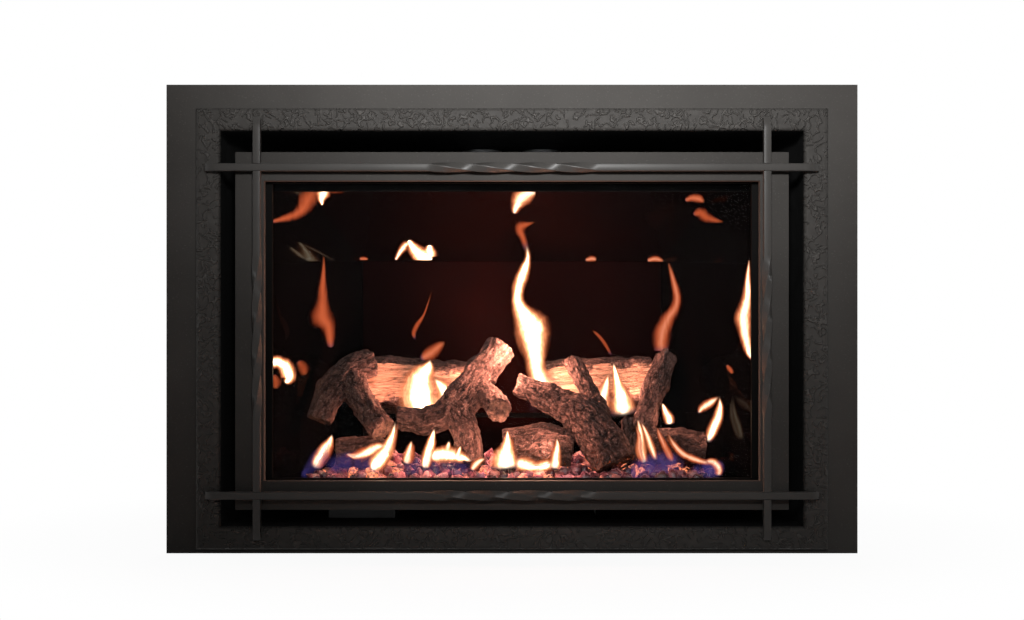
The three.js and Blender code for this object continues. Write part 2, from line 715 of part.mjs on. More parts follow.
// A square bar with eased corners. It runs straight, twists through whole turns in its middle, and its ends
// bend back until they meet the frame. place(along, back) gives the point of the bar's line.
function twistedBar(length, twist, twistMiddle, across, place) {
  const half = BAR / 2;
  const flat = half - BAR_EASE;
  const corner = [[half, -flat], [half, flat], [flat, half], [-flat, half], [-half, flat], [-half, -flat],
    [-flat, -half], [flat, -half]];
  const curlStart = length / 2 - BAR_CURL;
  const drop = BAR_CLEAR - SEAT;
  const bend = (s) => drop * Math.max(0, (Math.abs(s) - curlStart) / BAR_CURL) ** 2;
  const curl = [0, 1, 2, 3, 4].map((i) => curlStart + (BAR_CURL * i) / 4);
  const stations = [
    ...curl.map((s) => -s).reverse(),
    ...Array.from({ length: TWIST_STEPS + 1 }, (_, i) => twistMiddle + twist * (i / TWIST_STEPS - 0.5)),
    ...curl,
  ];
  const rings = stations.map((s) => {
    const here = place(s, bend(s));
    const along = place(s + 0.5, bend(s + 0.5)).sub(place(s - 0.5, bend(s - 0.5))).normalize();
    const out = new THREE.Vector3().crossVectors(along, across).normalize();
    const part = THREE.MathUtils.clamp((s - twistMiddle) / twist + 0.5, 0, 1);
    const angle = part * TWIST_TURNS * 2 * Math.PI;
    return corner.map(([u, v]) => {
      const a = u * Math.cos(angle) - v * Math.sin(angle);
      const b = u * Math.sin(angle) + v * Math.cos(angle);
      return here.clone().addScaledVector(across, a).addScaledVector(out, b);
    });
  });
  return loft(rings);
}

function lapBox(x, z, y0, y1) {
  const reach = BAR / 2 + SEAT;
  return box(x - reach, x + reach, y0, y1, z - reach, z + reach);
}

function levelBar(z) {
  const place = (s, back) => new THREE.Vector3(s, BAR_Y + back, z);
  const bar = twistedBar(BAR_LEVEL_LENGTH, TWIST_LEVEL, 0, new THREE.Vector3(0, 0, 1), place);
  const laps = [-BAR_X, BAR_X].map((x) => lapBox(x, z, BAR_Y - SEAT / 2, BAR_Y + BAR));
  return cut(bar, ...laps);
}

function uprightBar(x) {
  const middle = (BAR_UPRIGHT_BOTTOM + BAR_UPRIGHT_TOP) / 2;
  const length = BAR_UPRIGHT_TOP - BAR_UPRIGHT_BOTTOM;
  const place = (s, back) => new THREE.Vector3(x, BAR_Y + back, middle + s);
  const bar = twistedBar(length, TWIST_UPRIGHT, TWIST_UPRIGHT_Z - middle, new THREE.Vector3(1, 0, 0), place);
  const laps = [BAR_LOWER_Z, BAR_UPPER_Z].map((z) => lapBox(x, z, BAR_Y - BAR, BAR_Y + SEAT / 2));
  const spacers = [BAR_LOWER_Z, BAR_UPPER_Z].map((z) =>
    rod("y", [x, BAR_Y + BAR / 4, z], -TRIM_PROUD - SEAT - BAR_Y - BAR / 4, SPACER_RADIUS),
  );
  return join(cut(bar, ...laps), ...spacers);
}

// ---------------------------------------------------------------- burner and logs

function burnerPlan(offset, z0, z1) {
  const near = BURNER_FRONT_HALF + offset;
  const far = BURNER_REAR_HALF + offset;
  const front = BURNER_Y - offset;
  const rear = BURNER_REAR_Y + offset;
  return plan([[-near, front], [near, front], [far, rear], [-far, rear]], z0, z1);
}

function burnerPan() {
  const tray = cut(
    burnerPlan(0, BURNER_FLOOR_Z, BURNER_FLOOR_Z + BURNER_RIM),
    burnerPlan(-BURNER_WALL, BURNER_FLOOR_Z + BURNER_WALL, BURNER_FLOOR_Z + BURNER_RIM + 1),
  );
  const entry = rod("z", [VENTURI_X, VENTURI_Y, BURNER_FLOOR_Z - 1], BURNER_WALL + 2, VENTURI_RADIUS - VENTURI_WALL);
  return cut(tray, entry);
}

// The heap of glass and ember pieces on the burner, low at the front and higher at the rear.
function emberBed(logs) {
  const across = 24;
  const deep = 5;
  const inner = -BURNER_WALL - SEAT;
  const base = BURNER_FLOOR_Z + BURNER_WALL + SEAT;
  const rows = [];
  for (let i = 0; i <= across; i += 1) {
    const u = (2 * i) / across - 1;
    const top = [];
    const bottom = [];
    for (let j = 0; j <= deep; j += 1) {
      const v = j / deep;
      const y = THREE.MathUtils.lerp(BURNER_Y - inner, BURNER_REAR_Y + inner, v);
      const x = u * THREE.MathUtils.lerp(BURNER_FRONT_HALF + inner, BURNER_REAR_HALF + inner, v);
      const ripple = BED_RIPPLE * (Math.sin(i * 2.1 + j * 1.3) + Math.sin(i * 0.9 - j * 2.2));
      top.push(new THREE.Vector3(x, y, THREE.MathUtils.lerp(BED_FRONT_Z, BED_REAR_Z, v) + ripple));
      bottom.unshift(new THREE.Vector3(x, y, base));
    }
    rows.push([...top, ...bottom]);
  }
  return mainBody(cut(loft(rows), ...logs));
}

// One limb of a log: a rough round section carried along a curve through its points, each [x, y, z, radius].
function limb(points, phase, grow, sides = 10) {
  const curve = new THREE.CatmullRomCurve3(points.map(([x, y, z]) => new THREE.Vector3(x, y, z)));
  const girth = new THREE.CatmullRomCurve3(points.map((p) => new THREE.Vector3(p[3], 0, 0)));
  const steps = Math.max(5, Math.round(curve.getLength() / 26));
  const rings = [];
  for (let i = 0; i <= steps; i += 1) {
    const t = i / steps;
    const here = curve.getPoint(t);
    const along = curve.getTangent(t);
    const side = new THREE.Vector3(0, 1, 0.2).cross(along).normalize();
    const up = new THREE.Vector3().crossVectors(along, side);
    here.addScaledVector(along, i === 0 ? -grow : 0).addScaledVector(along, i === steps ? grow : 0);
    const rim = [];
    for (let j = 0; j < sides; j += 1) {
      const angle = (j / sides) * 2 * Math.PI;
      const furrow = 0.06 * Math.sin(3 * angle + phase + 2 * t) + 0.05 * Math.sin(5 * angle - phase + 5 * t);
      const swell = 0.05 * Math.sin(9 * t + phase);
      const radius = girth.getPoint(t).x * (1 + furrow + swell) + grow;
      rim.push(
        here
          .clone()
          .addScaledVector(side, radius * Math.cos(angle))
          .addScaledVector(up, radius * Math.sin(angle)),
      );
    }
    rings.push(rim);
  }
  return loft(rings);
}

// Each log has its limbs, and a split log has the plane of its split: a point on it and the way it faces.
const LOGS = {
  log_rear_left: {
    limbs: [[[-306, 296, 268, 48], [-240, 300, 276, 54], [-150, 304, 272, 56], [-68, 302, 268, 50]]],
    split: { point: SPLIT_LEFT, faces: SPLIT_FACES },
    shelf: true,
  },
  log_rear_right: {
    limbs: [[[56, 304, 266, 50], [130, 306, 275, 55], [210, 304, 277, 55], [276, 300, 285, 48]]],
    split: { point: SPLIT_RIGHT, faces: SPLIT_FACES },
    shelf: true,
  },
  log_main_left: {
    limbs: [
      [[-212, 150, 222, 20], [-150, 152, 218, 27], [-96, 166, 252, 34], [-58, 190, 304, 31], [-22, 214, 352, 30]],
      [[-104, 160, 246, 30], [-86, 132, 200, 27], [-75, 110, 140, 27]],
      [[-44, 172, 268, 24], [-34, 130, 254, 22], [-24, 95, 243, 21]],
    ],
  },
  log_fork_right: {
    limbs: [
      [[6, 148, 284, 20], [60, 150, 262, 27], [122, 142, 232, 34], [164, 120, 182, 42], [184, 108, 142, 44]],
      [[113, 232, 326, 17], [135, 192, 282, 19], [158, 148, 228, 24]],
    ],
  },
  log_fork_left: {
    limbs: [
      [[-350, 146, 218, 24], [-332, 165, 268, 28], [-303, 190, 306, 29], [-262, 214, 322, 26]],
      [[-302, 186, 300, 26], [-280, 152, 262, 26], [-254, 126, 228, 25], [-231, 106, 205, 24]],
    ],
  },
  log_upright_right: { limbs: [[[291, 238, 336, 21], [266, 200, 276, 23], [244, 160, 222, 22], [236, 146, 196, 20]]] },
  log_front_right: { limbs: [[[240, 136, 168, 28], [290, 144, 172, 33], [352, 150, 168, 30]]] },
  log_front_left: { limbs: [[[-318, 128, 160, 25], [-276, 130, 162, 29], [-226, 128, 160, 27]]] },
  log_front_middle: { limbs: [[[-14, 132, 170, 32], [50, 134, 178, 38], [112, 132, 168, 34]]] },
  log_stub_right: { limbs: [[[213, 168, 220, 15], [212, 150, 180, 17], [211, 140, 146, 18]]] },
};

function logSolid({ limbs, split, shelf }, number, grow) {
  const wood = join(...limbs.map((points, i) => limb(points, number + 2 * i, grow)));
  const cuts = [];
  if (split) {
    const slab = new THREE.BoxGeometry(2 * CASE_HALF, CASE_HALF, 2 * CASE_HALF);
    slab.translate(0, -CASE_HALF / 2 - grow, 0);
    const facing = new THREE.Vector3(...split.faces).normalize();
    const turn = new THREE.Quaternion().setFromUnitVectors(new THREE.Vector3(0, -1, 0), facing);
    cuts.push(solidOf(slab.applyQuaternion(turn).translate(...split.point)));
  }
  const rest = shelf ? SHELF_TOP + SEAT : BED_FRONT_Z + BED_RIPPLE;
  cuts.push(box(-CASE_HALF, CASE_HALF, 0, CASE_DEPTH, 0, rest - grow));
  return cut(wood, ...cuts);
}

// Logs are made in order, and each is notched where it meets those before it.
function logSet() {
  const grown = [];
  const whole = new Map();
  Object.entries(LOGS).forEach(([name, log], number) => {
    whole.set(name, mainBody(cut(logSolid(log, number, 0), ...grown)));
    grown.push(logSolid(log, number, LOG_GAP));
  });
  return { whole, grown };
}

function logShelf() {
  const rear = SHELF_Y + SHELF_DEPTH;
  const floor = FIREBOX_FLOOR_Z + SEAT;
  const top = box(-SHELF_HALF, SHELF_HALF, SHELF_Y, rear, SHELF_TOP - SHEET, SHELF_TOP);
  const legs = [-1, 1].map((side) => {
    const outer = side * SHELF_HALF;
    const inner = outer - side * SHEET;
    return box(Math.min(outer, inner), Math.max(outer, inner), SHELF_Y, rear, floor, SHELF_TOP);
  });
  return join(top, ...legs);
}

function pilotAssembly() {
  const y = BURNER_REAR_Y + PILOT_SETBACK;
  const floor = FIREBOX_FLOOR_Z + SEAT;
  const half = PILOT_FOOT_HALF;
  const behind = y + PILOT_POST_SETBACK;
  const rear = y + PILOT_FOOT_REAR;
  const foot = box(-half, half, y - PILOT_FOOT_FRONT, rear, floor, floor + SHEET);
  const post = box(4 - half, half - 4, behind, behind + SHEET, floor, floor + PILOT_POST_HEIGHT);
  const hood = join(
    rod("z", [0, y - 1, floor], PILOT_HEIGHT, PILOT_RADIUS, 12),
    rod("z", [0, y - 1, floor + PILOT_HEIGHT - PILOT_RADIUS], 2 * PILOT_RADIUS, PILOT_HOOD_RADIUS, 12),
  );
  const electrode = rod("z", [PROBE_X, y + 1, floor], ELECTRODE_HEIGHT, PROBE_RADIUS, 8);
  const thermocouple = rod("z", [-PROBE_X, y + 1, floor], THERMOCOUPLE_HEIGHT, PROBE_RADIUS, 8);
  return join(foot, post, hood, electrode, thermocouple);
}

// A mixing tube that turns up into the burner, with air windows at its mouth.
function venturiTube() {
  const section = new THREE.Shape().absarc(0, 0, VENTURI_RADIUS, 0, 2 * Math.PI);
  section.holes.push(new THREE.Path().absarc(0, 0, VENTURI_RADIUS - VENTURI_WALL, 0, 2 * Math.PI, true));
  const bend = 2 * VENTURI_RADIUS;
  const top = BURNER_FLOOR_Z - SEAT;
  const path = new THREE.CurvePath();
  const level = new THREE.Vector3(VENTURI_X + bend, VENTURI_Y, VENTURI_Z);
  const riser = new THREE.Vector3(VENTURI_X, VENTURI_Y, VENTURI_Z + bend);
  path.add(new THREE.LineCurve3(new THREE.Vector3(VENTURI_MOUTH_X, VENTURI_Y, VENTURI_Z), level));
  path.add(new THREE.QuadraticBezierCurve3(level, new THREE.Vector3(VENTURI_X, VENTURI_Y, VENTURI_Z), riser));
  path.add(new THREE.LineCurve3(riser, new THREE.Vector3(VENTURI_X, VENTURI_Y, top)));
  const tube = solidOf(
    new THREE.ExtrudeGeometry(section, { steps: 9, extrudePath: path, bevelEnabled: false, curveSegments: 5 }),
  );
  return cut(tube, airWindows(VENTURI_RADIUS + 1));
}

function airWindows(reach) {
  const x = VENTURI_MOUTH_X - SHUTTER_LENGTH * 0.75;
  return box(x, x + AIR_WINDOW, VENTURI_Y - AIR_WINDOW / 2, VENTURI_Y + AIR_WINDOW / 2, VENTURI_Z - reach, VENTURI_Z + reach);
}

function airShutter() {
  const inner = VENTURI_RADIUS + RUN;
  const outer = inner + SHUTTER_WALL;
  const start = VENTURI_MOUTH_X - SHUTTER_LENGTH;
  const sleeve = cut(
    rod("x", [start, VENTURI_Y, VENTURI_Z], SHUTTER_LENGTH, outer),
    rod("x", [start - 1, VENTURI_Y, VENTURI_Z], SHUTTER_LENGTH + 2, inner),
    airWindows(outer + 1),
  );
  const tab = box(start + 1, start + 3, VENTURI_Y - outer - 9, VENTURI_Y - inner - 0.4, VENTURI_Z - 4, VENTURI_Z + 4);
  return join(sleeve, tab);
}

// ---------------------------------------------------------------- gas valve and controls

function gasValve() {
  const y = PANEL_Y + SHEET + SEAT;
  const z = CASE_BOTTOM + SHEET + SEAT;
  const body = box(VALVE_X, VALVE_X + VALVE_WIDTH, y, y + VALVE_DEPTH, z, z + VALVE_HEIGHT);
  const regulator = rod("z", [VALVE_X + VALVE_WIDTH * 0.7, y + VALVE_DEPTH * 0.6, z], VALVE_HEIGHT + REGULATOR_RISE, REGULATOR_RADIUS);
  const port = [VALVE_X + VALVE_WIDTH - 1, y + VALVE_DEPTH / 2, z + VALVE_HEIGHT / 2];
  const inlet = rod("x", port, INLET_LENGTH, INLET_RADIUS, 6);
  const stems = [VALVE_KNOB_X, FLAME_KNOB_X].map((x) => stemBore(x, y));
  return cut(join(body, regulator, inlet), ...stems);
}

function stemBore(x, y) {
  return rod("y", [x, y - 1, KNOB_Z], STEM_DEPTH + 1, KNOB_SHAFT + RUN);
}

// The turning resistor behind the fan knob.
function fanControl() {
  const y = PANEL_Y + SHEET + SEAT;
  const body = rod("y", [FAN_KNOB_X, y, KNOB_Z], FAN_CONTROL_DEPTH, FAN_CONTROL_RADIUS);
  const half = TERMINAL_WIDTH / 2;
  const top = KNOB_Z + TERMINAL_RISE;
  const terminals = box(FAN_KNOB_X - half, FAN_KNOB_X + half, y + 4, y + 10, KNOB_Z + 8, top);
  return cut(join(body, terminals), stemBore(FAN_KNOB_X, y));
}

// A tube from the valve's outlet to a nozzle in the mouth of the mixing tube.
function gasLine() {
  const nozzle = rod("x", [VENTURI_MOUTH_X - 6, VENTURI_Y, VENTURI_Z], 14, 5, 12);
  const nut = rod("x", [VENTURI_MOUTH_X + 6, VENTURI_Y, VENTURI_Z], 10, 8, 6);
  const tube = rod("x", [VENTURI_MOUTH_X + 15, VENTURI_Y, VENTURI_Z], VALVE_X - SEAT - VENTURI_MOUTH_X - 15, 4, 12);
  return join(nozzle, nut, tube);
}

const knobPlaces = [VALVE_KNOB_X, FLAME_KNOB_X, FAN_KNOB_X];

function controlPanel() {
  const z = CASE_BOTTOM + SHEET + SEAT;
  const face = box(PANEL_X, PANEL_X + PANEL_WIDTH, PANEL_Y, PANEL_Y + SHEET, z, z + PANEL_HEIGHT);
  const start = VALVE_X + VALVE_WIDTH + PANEL_FOOT_CLEAR;
  const foot = box(start, PANEL_X + PANEL_WIDTH, PANEL_Y, PANEL_Y + PANEL_FOOT_DEPTH, z, z + SHEET);
  const bores = knobPlaces.map((x) => rod("y", [x, PANEL_Y - 1, KNOB_Z], SHEET + 2, KNOB_SHAFT + RUN));
  const button = rod("y", [BUTTON_X, PANEL_Y - 1, KNOB_Z], SHEET + 2, BUTTON_RADIUS + RUN);
  const rocker = box(
    SWITCH_X - SWITCH_WIDTH / 2 - RUN,
    SWITCH_X + SWITCH_WIDTH / 2 + RUN,
    PANEL_Y - 1,
    PANEL_Y + SHEET + 1,
    KNOB_Z - SWITCH_HEIGHT / 2 - SWITCH_PLAY,
    KNOB_Z + SWITCH_HEIGHT / 2 + SWITCH_PLAY,
  );
  return cut(join(face, foot), ...bores, button, rocker);
}

function knob(x) {
  const front = PANEL_Y - SEAT - KNOB_LENGTH;
  const grip = rod("y", [x, front, KNOB_Z], KNOB_LENGTH, KNOB_RADIUS, 20);
  const flutes = Array.from({ length: KNOB_FLUTES }, (_, i) => {
    const angle = (i / KNOB_FLUTES) * 2 * Math.PI;
    const place = [x + (KNOB_RADIUS + 1) * Math.cos(angle), front - 1, KNOB_Z + (KNOB_RADIUS + 1) * Math.sin(angle)];
    return rod("y", place, KNOB_LENGTH - 3, 2.4, 6);
  });
  const mark = box(x - 1, x + 1, front - 0.6, front + 1, KNOB_Z + 2, KNOB_Z + KNOB_RADIUS - 2);
  const shaft = rod("y", [x, front + 2, KNOB_Z], KNOB_LENGTH + SHEET, KNOB_SHAFT, 12);
  return join(cut(grip, ...flutes), mark, shaft);
}

function igniterButton() {
  const cap = rod("y", [BUTTON_X, PANEL_Y - BUTTON_TRAVEL - 2, KNOB_Z], BUTTON_TRAVEL + 14, BUTTON_RADIUS, 14);
  const collar = rod("y", [BUTTON_X, PANEL_Y + SHEET + SEAT, KNOB_Z], 2, BUTTON_RADIUS + 2, 14);
  return join(cap, collar);
}

function burnerSwitch() {
  const half = SWITCH_HEIGHT / 2;
  const y = PANEL_Y;
  const outline = [
    [y - 1, KNOB_Z - half],
    [y + 5, KNOB_Z - half + 2],
    [y + SWITCH_DEPTH, KNOB_Z - 3],
    [y + SWITCH_DEPTH, KNOB_Z + 3],
    [y + 5, KNOB_Z + half - 2],
    [y - 5, KNOB_Z + half],
    [y - 1, KNOB_Z],
  ];
  return profile(outline, SWITCH_X - SWITCH_WIDTH / 2, SWITCH_X + SWITCH_WIDTH / 2);
}

function controlModule() {
  const z = CASE_BOTTOM + SHEET + SEAT;
  const lidZ = z + MODULE_HEIGHT;
  const rear = MODULE_Y + MODULE_DEPTH;
  const body = box(MODULE_X, MODULE_X + MODULE_WIDTH, MODULE_Y, rear, z, lidZ);
  const lid = box(MODULE_X - LID_LIP, MODULE_X + MODULE_WIDTH + LID_LIP, MODULE_Y - LID_LIP, rear + LID_LIP, lidZ, lidZ + LID);
  return join(body, lid);
}

// ---------------------------------------------------------------- blower

function blowerShaft() {
  const half = MOTOR_LENGTH / 2 + MOTOR_GAP + WHEEL_LENGTH + SCROLL_WALL + 6;
  return rod("x", [-half, WHEEL_Y, WHEEL_Z], 2 * half, BLOWER_SHAFT, 12);
}

// A drum of forward-curved blades between a hub disc and an open ring.
function blowerWheel(side) {
  const inner = MOTOR_LENGTH / 2 + MOTOR_GAP;
  const start = side > 0 ? inner : -inner - WHEEL_LENGTH;
  const disc = side > 0 ? start : start + WHEEL_LENGTH - 2;
  const rim = side > 0 ? start + WHEEL_LENGTH - 3 : start;
  const hub = rod("x", [side > 0 ? start : start + WHEEL_LENGTH - 14, WHEEL_Y, WHEEL_Z], 14, 9, 12);
  const plate = rod("x", [disc, WHEEL_Y, WHEEL_Z], 2, WHEEL_RADIUS, 20);
  const band = cut(
    rod("x", [rim, WHEEL_Y, WHEEL_Z], 3, WHEEL_RADIUS, 20),
    rod("x", [rim - 1, WHEEL_Y, WHEEL_Z], 5, WHEEL_RADIUS - 6, 20),
  );
  const blades = Array.from({ length: WHEEL_BLADES }, (_, i) => {
    const blade = new THREE.BoxGeometry(WHEEL_LENGTH - 1, 1.2, 6.5);
    blade.rotateX(THREE.MathUtils.degToRad(35));
    blade.translate(0, 0, WHEEL_RADIUS - 3.6);
    blade.rotateX((i / WHEEL_BLADES) * 2 * Math.PI);
    blade.translate(start + WHEEL_LENGTH / 2, WHEEL_Y, WHEEL_Z);
    return solidOf(blade);
  });
  const bore = rod("x", [start - 1, WHEEL_Y, WHEEL_Z], WHEEL_LENGTH + 2, BLOWER_SHAFT + SEAT, 12);
  return cut(join(plate, hub, band, ...blades), bore);
}

function blowerMotor() {
  const start = -MOTOR_LENGTH / 2;
  const body = rod("x", [start, WHEEL_Y, WHEEL_Z], MOTOR_LENGTH, MOTOR_RADIUS, 20);
  const ends = [start - 2, -start - 2].map((x) => rod("x", [x, WHEEL_Y, WHEEL_Z], 4, 11, 12));
  const floor = CASE_BOTTOM + SHEET + SEAT;
  const foot = box(start + 8, -start - 8, WHEEL_Y - 18, WHEEL_Y + 18, floor, WHEEL_Z - MOTOR_RADIUS + 6);
  const bore = rod("x", [start - 5, WHEEL_Y, WHEEL_Z], MOTOR_LENGTH + 10, BLOWER_SHAFT + RUN, 12);
  return cut(join(body, foot, ...ends), bore);
}

// A scroll round each wheel, open at the top, with a bridge under the motor.
function blowerHousing() {
  const inner = WHEEL_RADIUS + SCROLL_CLEAR;
  const outer = inner + SCROLL_WALL;
  const start = MOTOR_LENGTH / 2 + MOTOR_GAP - 2.5;
  const length = WHEEL_LENGTH + 5;
  const top = WHEEL_Z + WHEEL_RADIUS;
  const floor = CASE_BOTTOM + SHEET + SEAT;
  const scrolls = [-1, 1].map((side) => {
    const x0 = side > 0 ? start : -start - length;
    const drum = join(
      rod("x", [x0, WHEEL_Y, WHEEL_Z], length, outer, 20),
      box(x0, x0 + length, WHEEL_Y - outer, WHEEL_Y + outer, WHEEL_Z, top),
    );
    const hollow = join(
      rod("x", [x0 + SCROLL_WALL, WHEEL_Y, WHEEL_Z], length - 2 * SCROLL_WALL, inner, 20),
      box(x0 + SCROLL_WALL, x0 + length - SCROLL_WALL, WHEEL_Y - inner, WHEEL_Y + inner, WHEEL_Z, top + 1),
    );
    const eye = rod("x", [x0 - 1, WHEEL_Y, WHEEL_Z], length + 2, WHEEL_RADIUS - 7, 16);
    return cut(drum, hollow, eye);
  });
  const reach = start + length;
  const rail = box(-reach, reach, WHEEL_Y - outer - 6, WHEEL_Y - inner + 1, floor, WHEEL_Z + 3);
  const sole = box(-reach, reach, WHEEL_Y - outer - 6, WHEEL_Y - outer + 8, floor, floor + SHEET);
  const drums = [-1, 1].map((side) => {
    const x0 = side > 0 ? start : -start - length;
    return rod("x", [x0 + SCROLL_WALL, WHEEL_Y, WHEEL_Z], length - 2 * SCROLL_WALL, inner, 20);
  });
  return cut(join(...scrolls, rail, sole), ...drums);
}

// ---------------------------------------------------------------- the whole insert

add("surround_panel", surroundPanel(), "charcoal");
add("outer_case", outerCase(), "galvanised");
add("case_top", caseTop(), "galvanised");
add("base_frame", baseFrame(), "blackSteel");
["front_left", "front_right", "rear_left", "rear_right"].forEach((where, i) =>
  add(`levelling_screw_${where}`, levellingScrew(levellerPlaces()[i]), "zinc"),
);
add("exhaust_collar", ventCollar(-COLLAR_X), "galvanised");
add("intake_collar", ventCollar(COLLAR_X), "galvanised");

add("firebox_shell", fireboxShell(), "blackSteel");
add("liner_left", sideLiner(-1), "blackGlass");
add("liner_right", sideLiner(1), "blackGlass");
add("liner_rear", rearLiner(), "blackGlass");
add("liner_ceiling", ceilingLiner(), "blackGlass");
add("lintel_baffle", lintelBaffle(), "blackSteel");

add("glass_door_frame", glassDoorFrame(), "blackSteel");
add("door_glass", doorGlass(), "clearGlass");
add("door_gasket", doorGasket(), "rope");
add("door_pivot_left", doorPivot(-1), "zinc");
add("door_pivot_right", doorPivot(1), "zinc");
add("door_clip_left", doorClip(-1), "stainless");
add("door_clip_right", doorClip(1), "stainless");

add("front_frame", frontFrame(), "charcoal");
add("inner_trim_frame", innerTrimFrame(), "charcoal");
add("bar_upper", levelBar(BAR_UPPER_Z), "charcoal");
add("bar_lower", levelBar(BAR_LOWER_Z), "charcoal");
add("bar_left", uprightBar(-BAR_X), "charcoal");
add("bar_right", uprightBar(BAR_X), "charcoal");

const { whole: logs, grown: logSpaces } = logSet();
logs.forEach((solid, name) => add(name, solid, "bark"));
add("ember_bed", emberBed(logSpaces), "embers");
add("burner_pan", burnerPan(), "blackSteel");
add("log_shelf", logShelf(), "blackSteel");
add("pilot_assembly", pilotAssembly(), "stainless");
add("venturi_tube", venturiTube(), "stainless");
add("air_shutter", airShutter(), "zinc");

add("gas_valve", gasValve(), "zinc");
add("gas_line", gasLine(), "brass");
add("control_panel", controlPanel(), "blackSteel");
add("valve_knob", knob(VALVE_KNOB_X), "blackPlastic");
add("flame_knob", knob(FLAME_KNOB_X), "blackPlastic");
add("fan_knob", knob(FAN_KNOB_X), "blackPlastic");
add("fan_control", fanControl(), "blackSteel");
add("igniter_button", igniterButton(), "blackPlastic");
add("burner_switch", burnerSwitch(), "blackPlastic");
add("control_module", controlModule(), "blackPlastic");

add("blower_shaft", blowerShaft(), "stainless");
add("blower_wheel_left", blowerWheel(-1), "galvanised");
add("blower_wheel_right", blowerWheel(1), "galvanised");
add("blower_motor", blowerMotor(), "blackSteel");
add("blower_housing", blowerHousing(), "galvanised");

const fireplaceInsert = new THREE.Group();
fireplaceInsert.add(insert);

export default fireplaceInsert;
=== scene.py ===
"""Looks of the gas fireplace insert, laid out as an add-on.

The packed model gives every place and size. The operators dress its nodes, or build a finer piece where a node
stands for something with relief of its own: the forged frame, the twisted bars, the logs and the ember bed.
Metres; +X is the viewer's right, +Z is up and the front faces -Y.
"""

import json
import math

import bmesh
import bpy
import numpy as np
from bpy.props import FloatProperty, FloatVectorProperty, IntProperty, PointerProperty
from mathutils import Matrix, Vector
from mathutils.bvhtree import BVHTree


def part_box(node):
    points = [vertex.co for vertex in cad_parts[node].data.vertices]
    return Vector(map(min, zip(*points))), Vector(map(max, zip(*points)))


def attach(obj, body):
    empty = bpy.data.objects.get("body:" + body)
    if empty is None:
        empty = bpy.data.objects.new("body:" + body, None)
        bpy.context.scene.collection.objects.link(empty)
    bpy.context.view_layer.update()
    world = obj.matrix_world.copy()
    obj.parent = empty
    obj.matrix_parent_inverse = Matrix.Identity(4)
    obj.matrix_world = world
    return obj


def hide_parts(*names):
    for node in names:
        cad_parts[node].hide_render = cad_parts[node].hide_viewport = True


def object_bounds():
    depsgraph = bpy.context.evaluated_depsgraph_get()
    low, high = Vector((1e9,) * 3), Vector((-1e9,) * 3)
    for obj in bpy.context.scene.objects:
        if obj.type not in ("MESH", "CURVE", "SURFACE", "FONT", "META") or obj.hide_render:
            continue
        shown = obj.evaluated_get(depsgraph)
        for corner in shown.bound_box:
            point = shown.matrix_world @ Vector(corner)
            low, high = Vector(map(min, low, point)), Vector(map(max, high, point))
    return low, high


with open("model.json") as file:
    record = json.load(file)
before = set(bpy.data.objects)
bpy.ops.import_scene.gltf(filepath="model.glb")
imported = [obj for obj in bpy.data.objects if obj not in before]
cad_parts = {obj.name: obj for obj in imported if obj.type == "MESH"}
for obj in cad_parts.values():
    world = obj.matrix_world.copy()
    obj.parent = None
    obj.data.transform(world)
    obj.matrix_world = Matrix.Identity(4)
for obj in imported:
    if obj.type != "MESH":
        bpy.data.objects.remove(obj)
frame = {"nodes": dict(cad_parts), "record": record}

bl_info = {
    "name": "Gas fireplace insert",
    "version": (1, 0, 0),
    "blender": (4, 5, 0),
    "location": "View3D > Sidebar > Insert",
    "description": "Finishes, forged front, log set, ember bed, flames and studio for the packed insert",
    "category": "Object",
}

CAD_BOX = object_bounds()
FACE_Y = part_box("surround_panel")[0].y
MM = 0.001
WHITE = (1.0, 1.0, 1.0, 1.0)
BLACK = (0.0, 0.0, 0.0)


def place(x, y, z):
    """A point from millimetres, with y behind the surround's face."""
    return Vector((x * MM, FACE_Y + y * MM, z * MM))


# ---------------------------------------------------------------- sizes and colours to change


def length(name, description, default):
    return FloatProperty(name=name, description=description, default=default, unit="LENGTH")


def number(name, description, default):
    return FloatProperty(name=name, description=description, default=default)


def tint(name, description, default):
    return FloatVectorProperty(name=name, description=description, subtype="COLOR", size=3, default=default)


class FrontSettings(bpy.types.PropertyGroup):
    """The forged frame and the twisted bars."""

    relief: length("Relief", "Height of the forged ridges", 0.0014)
    ridge_spacing: length("Ridge spacing", "Distance between forged ridges", 0.0150)
    frame_round: length("Edge rounding", "Soft edge of the forged frame", 0.006)
    grid: length("Relief grid", "Size of the relief's mesh", 0.00145)
    bar: length("Bar", "Width of the square bars", 0.0127)
    bar_ease: length("Bar edge", "Eased edge of the bars", 0.0011)
    bar_steps: IntProperty(name="Bar steps", description="Sections along a bar", default=400)
    colour: tint("Coating", "Colour of the powder coat", (0.057, 0.0535, 0.0500))


class LogSettings(bpy.types.PropertyGroup):
    """The ceramic logs."""

    voxel: length("Detail", "Mesh size of the logs", 0.0021)
    bark_depth: length("Bark depth", "Depth of the furrows", 0.0060)
    lumps: length("Lumps", "Height of the logs' lumps", 0.024)
    ridge: tint("Bark ridges", "Colour of the raised bark", (0.168, 0.090, 0.074))
    furrow: tint("Bark furrows", "Colour of the furrows", (0.016, 0.011, 0.010))
    wood: tint("Split wood", "Colour of the split faces", (0.58, 0.305, 0.205))


class EmberSettings(bpy.types.PropertyGroup):
    """The loose glass and ember pieces."""

    density: number("Density", "Pieces for each square metre", 6500.0)
    size: length("Size", "Size of a piece", 0.0280)
    seed: IntProperty(name="Seed", description="Seed of the scatter", default=11)


class FlameSettings(bpy.types.PropertyGroup):
    """The flames."""

    glow: number("Glow", "Strength of the flames' light", 9.0)
    thickness: number("Thickness", "Depth of a flame for its width", 0.4)


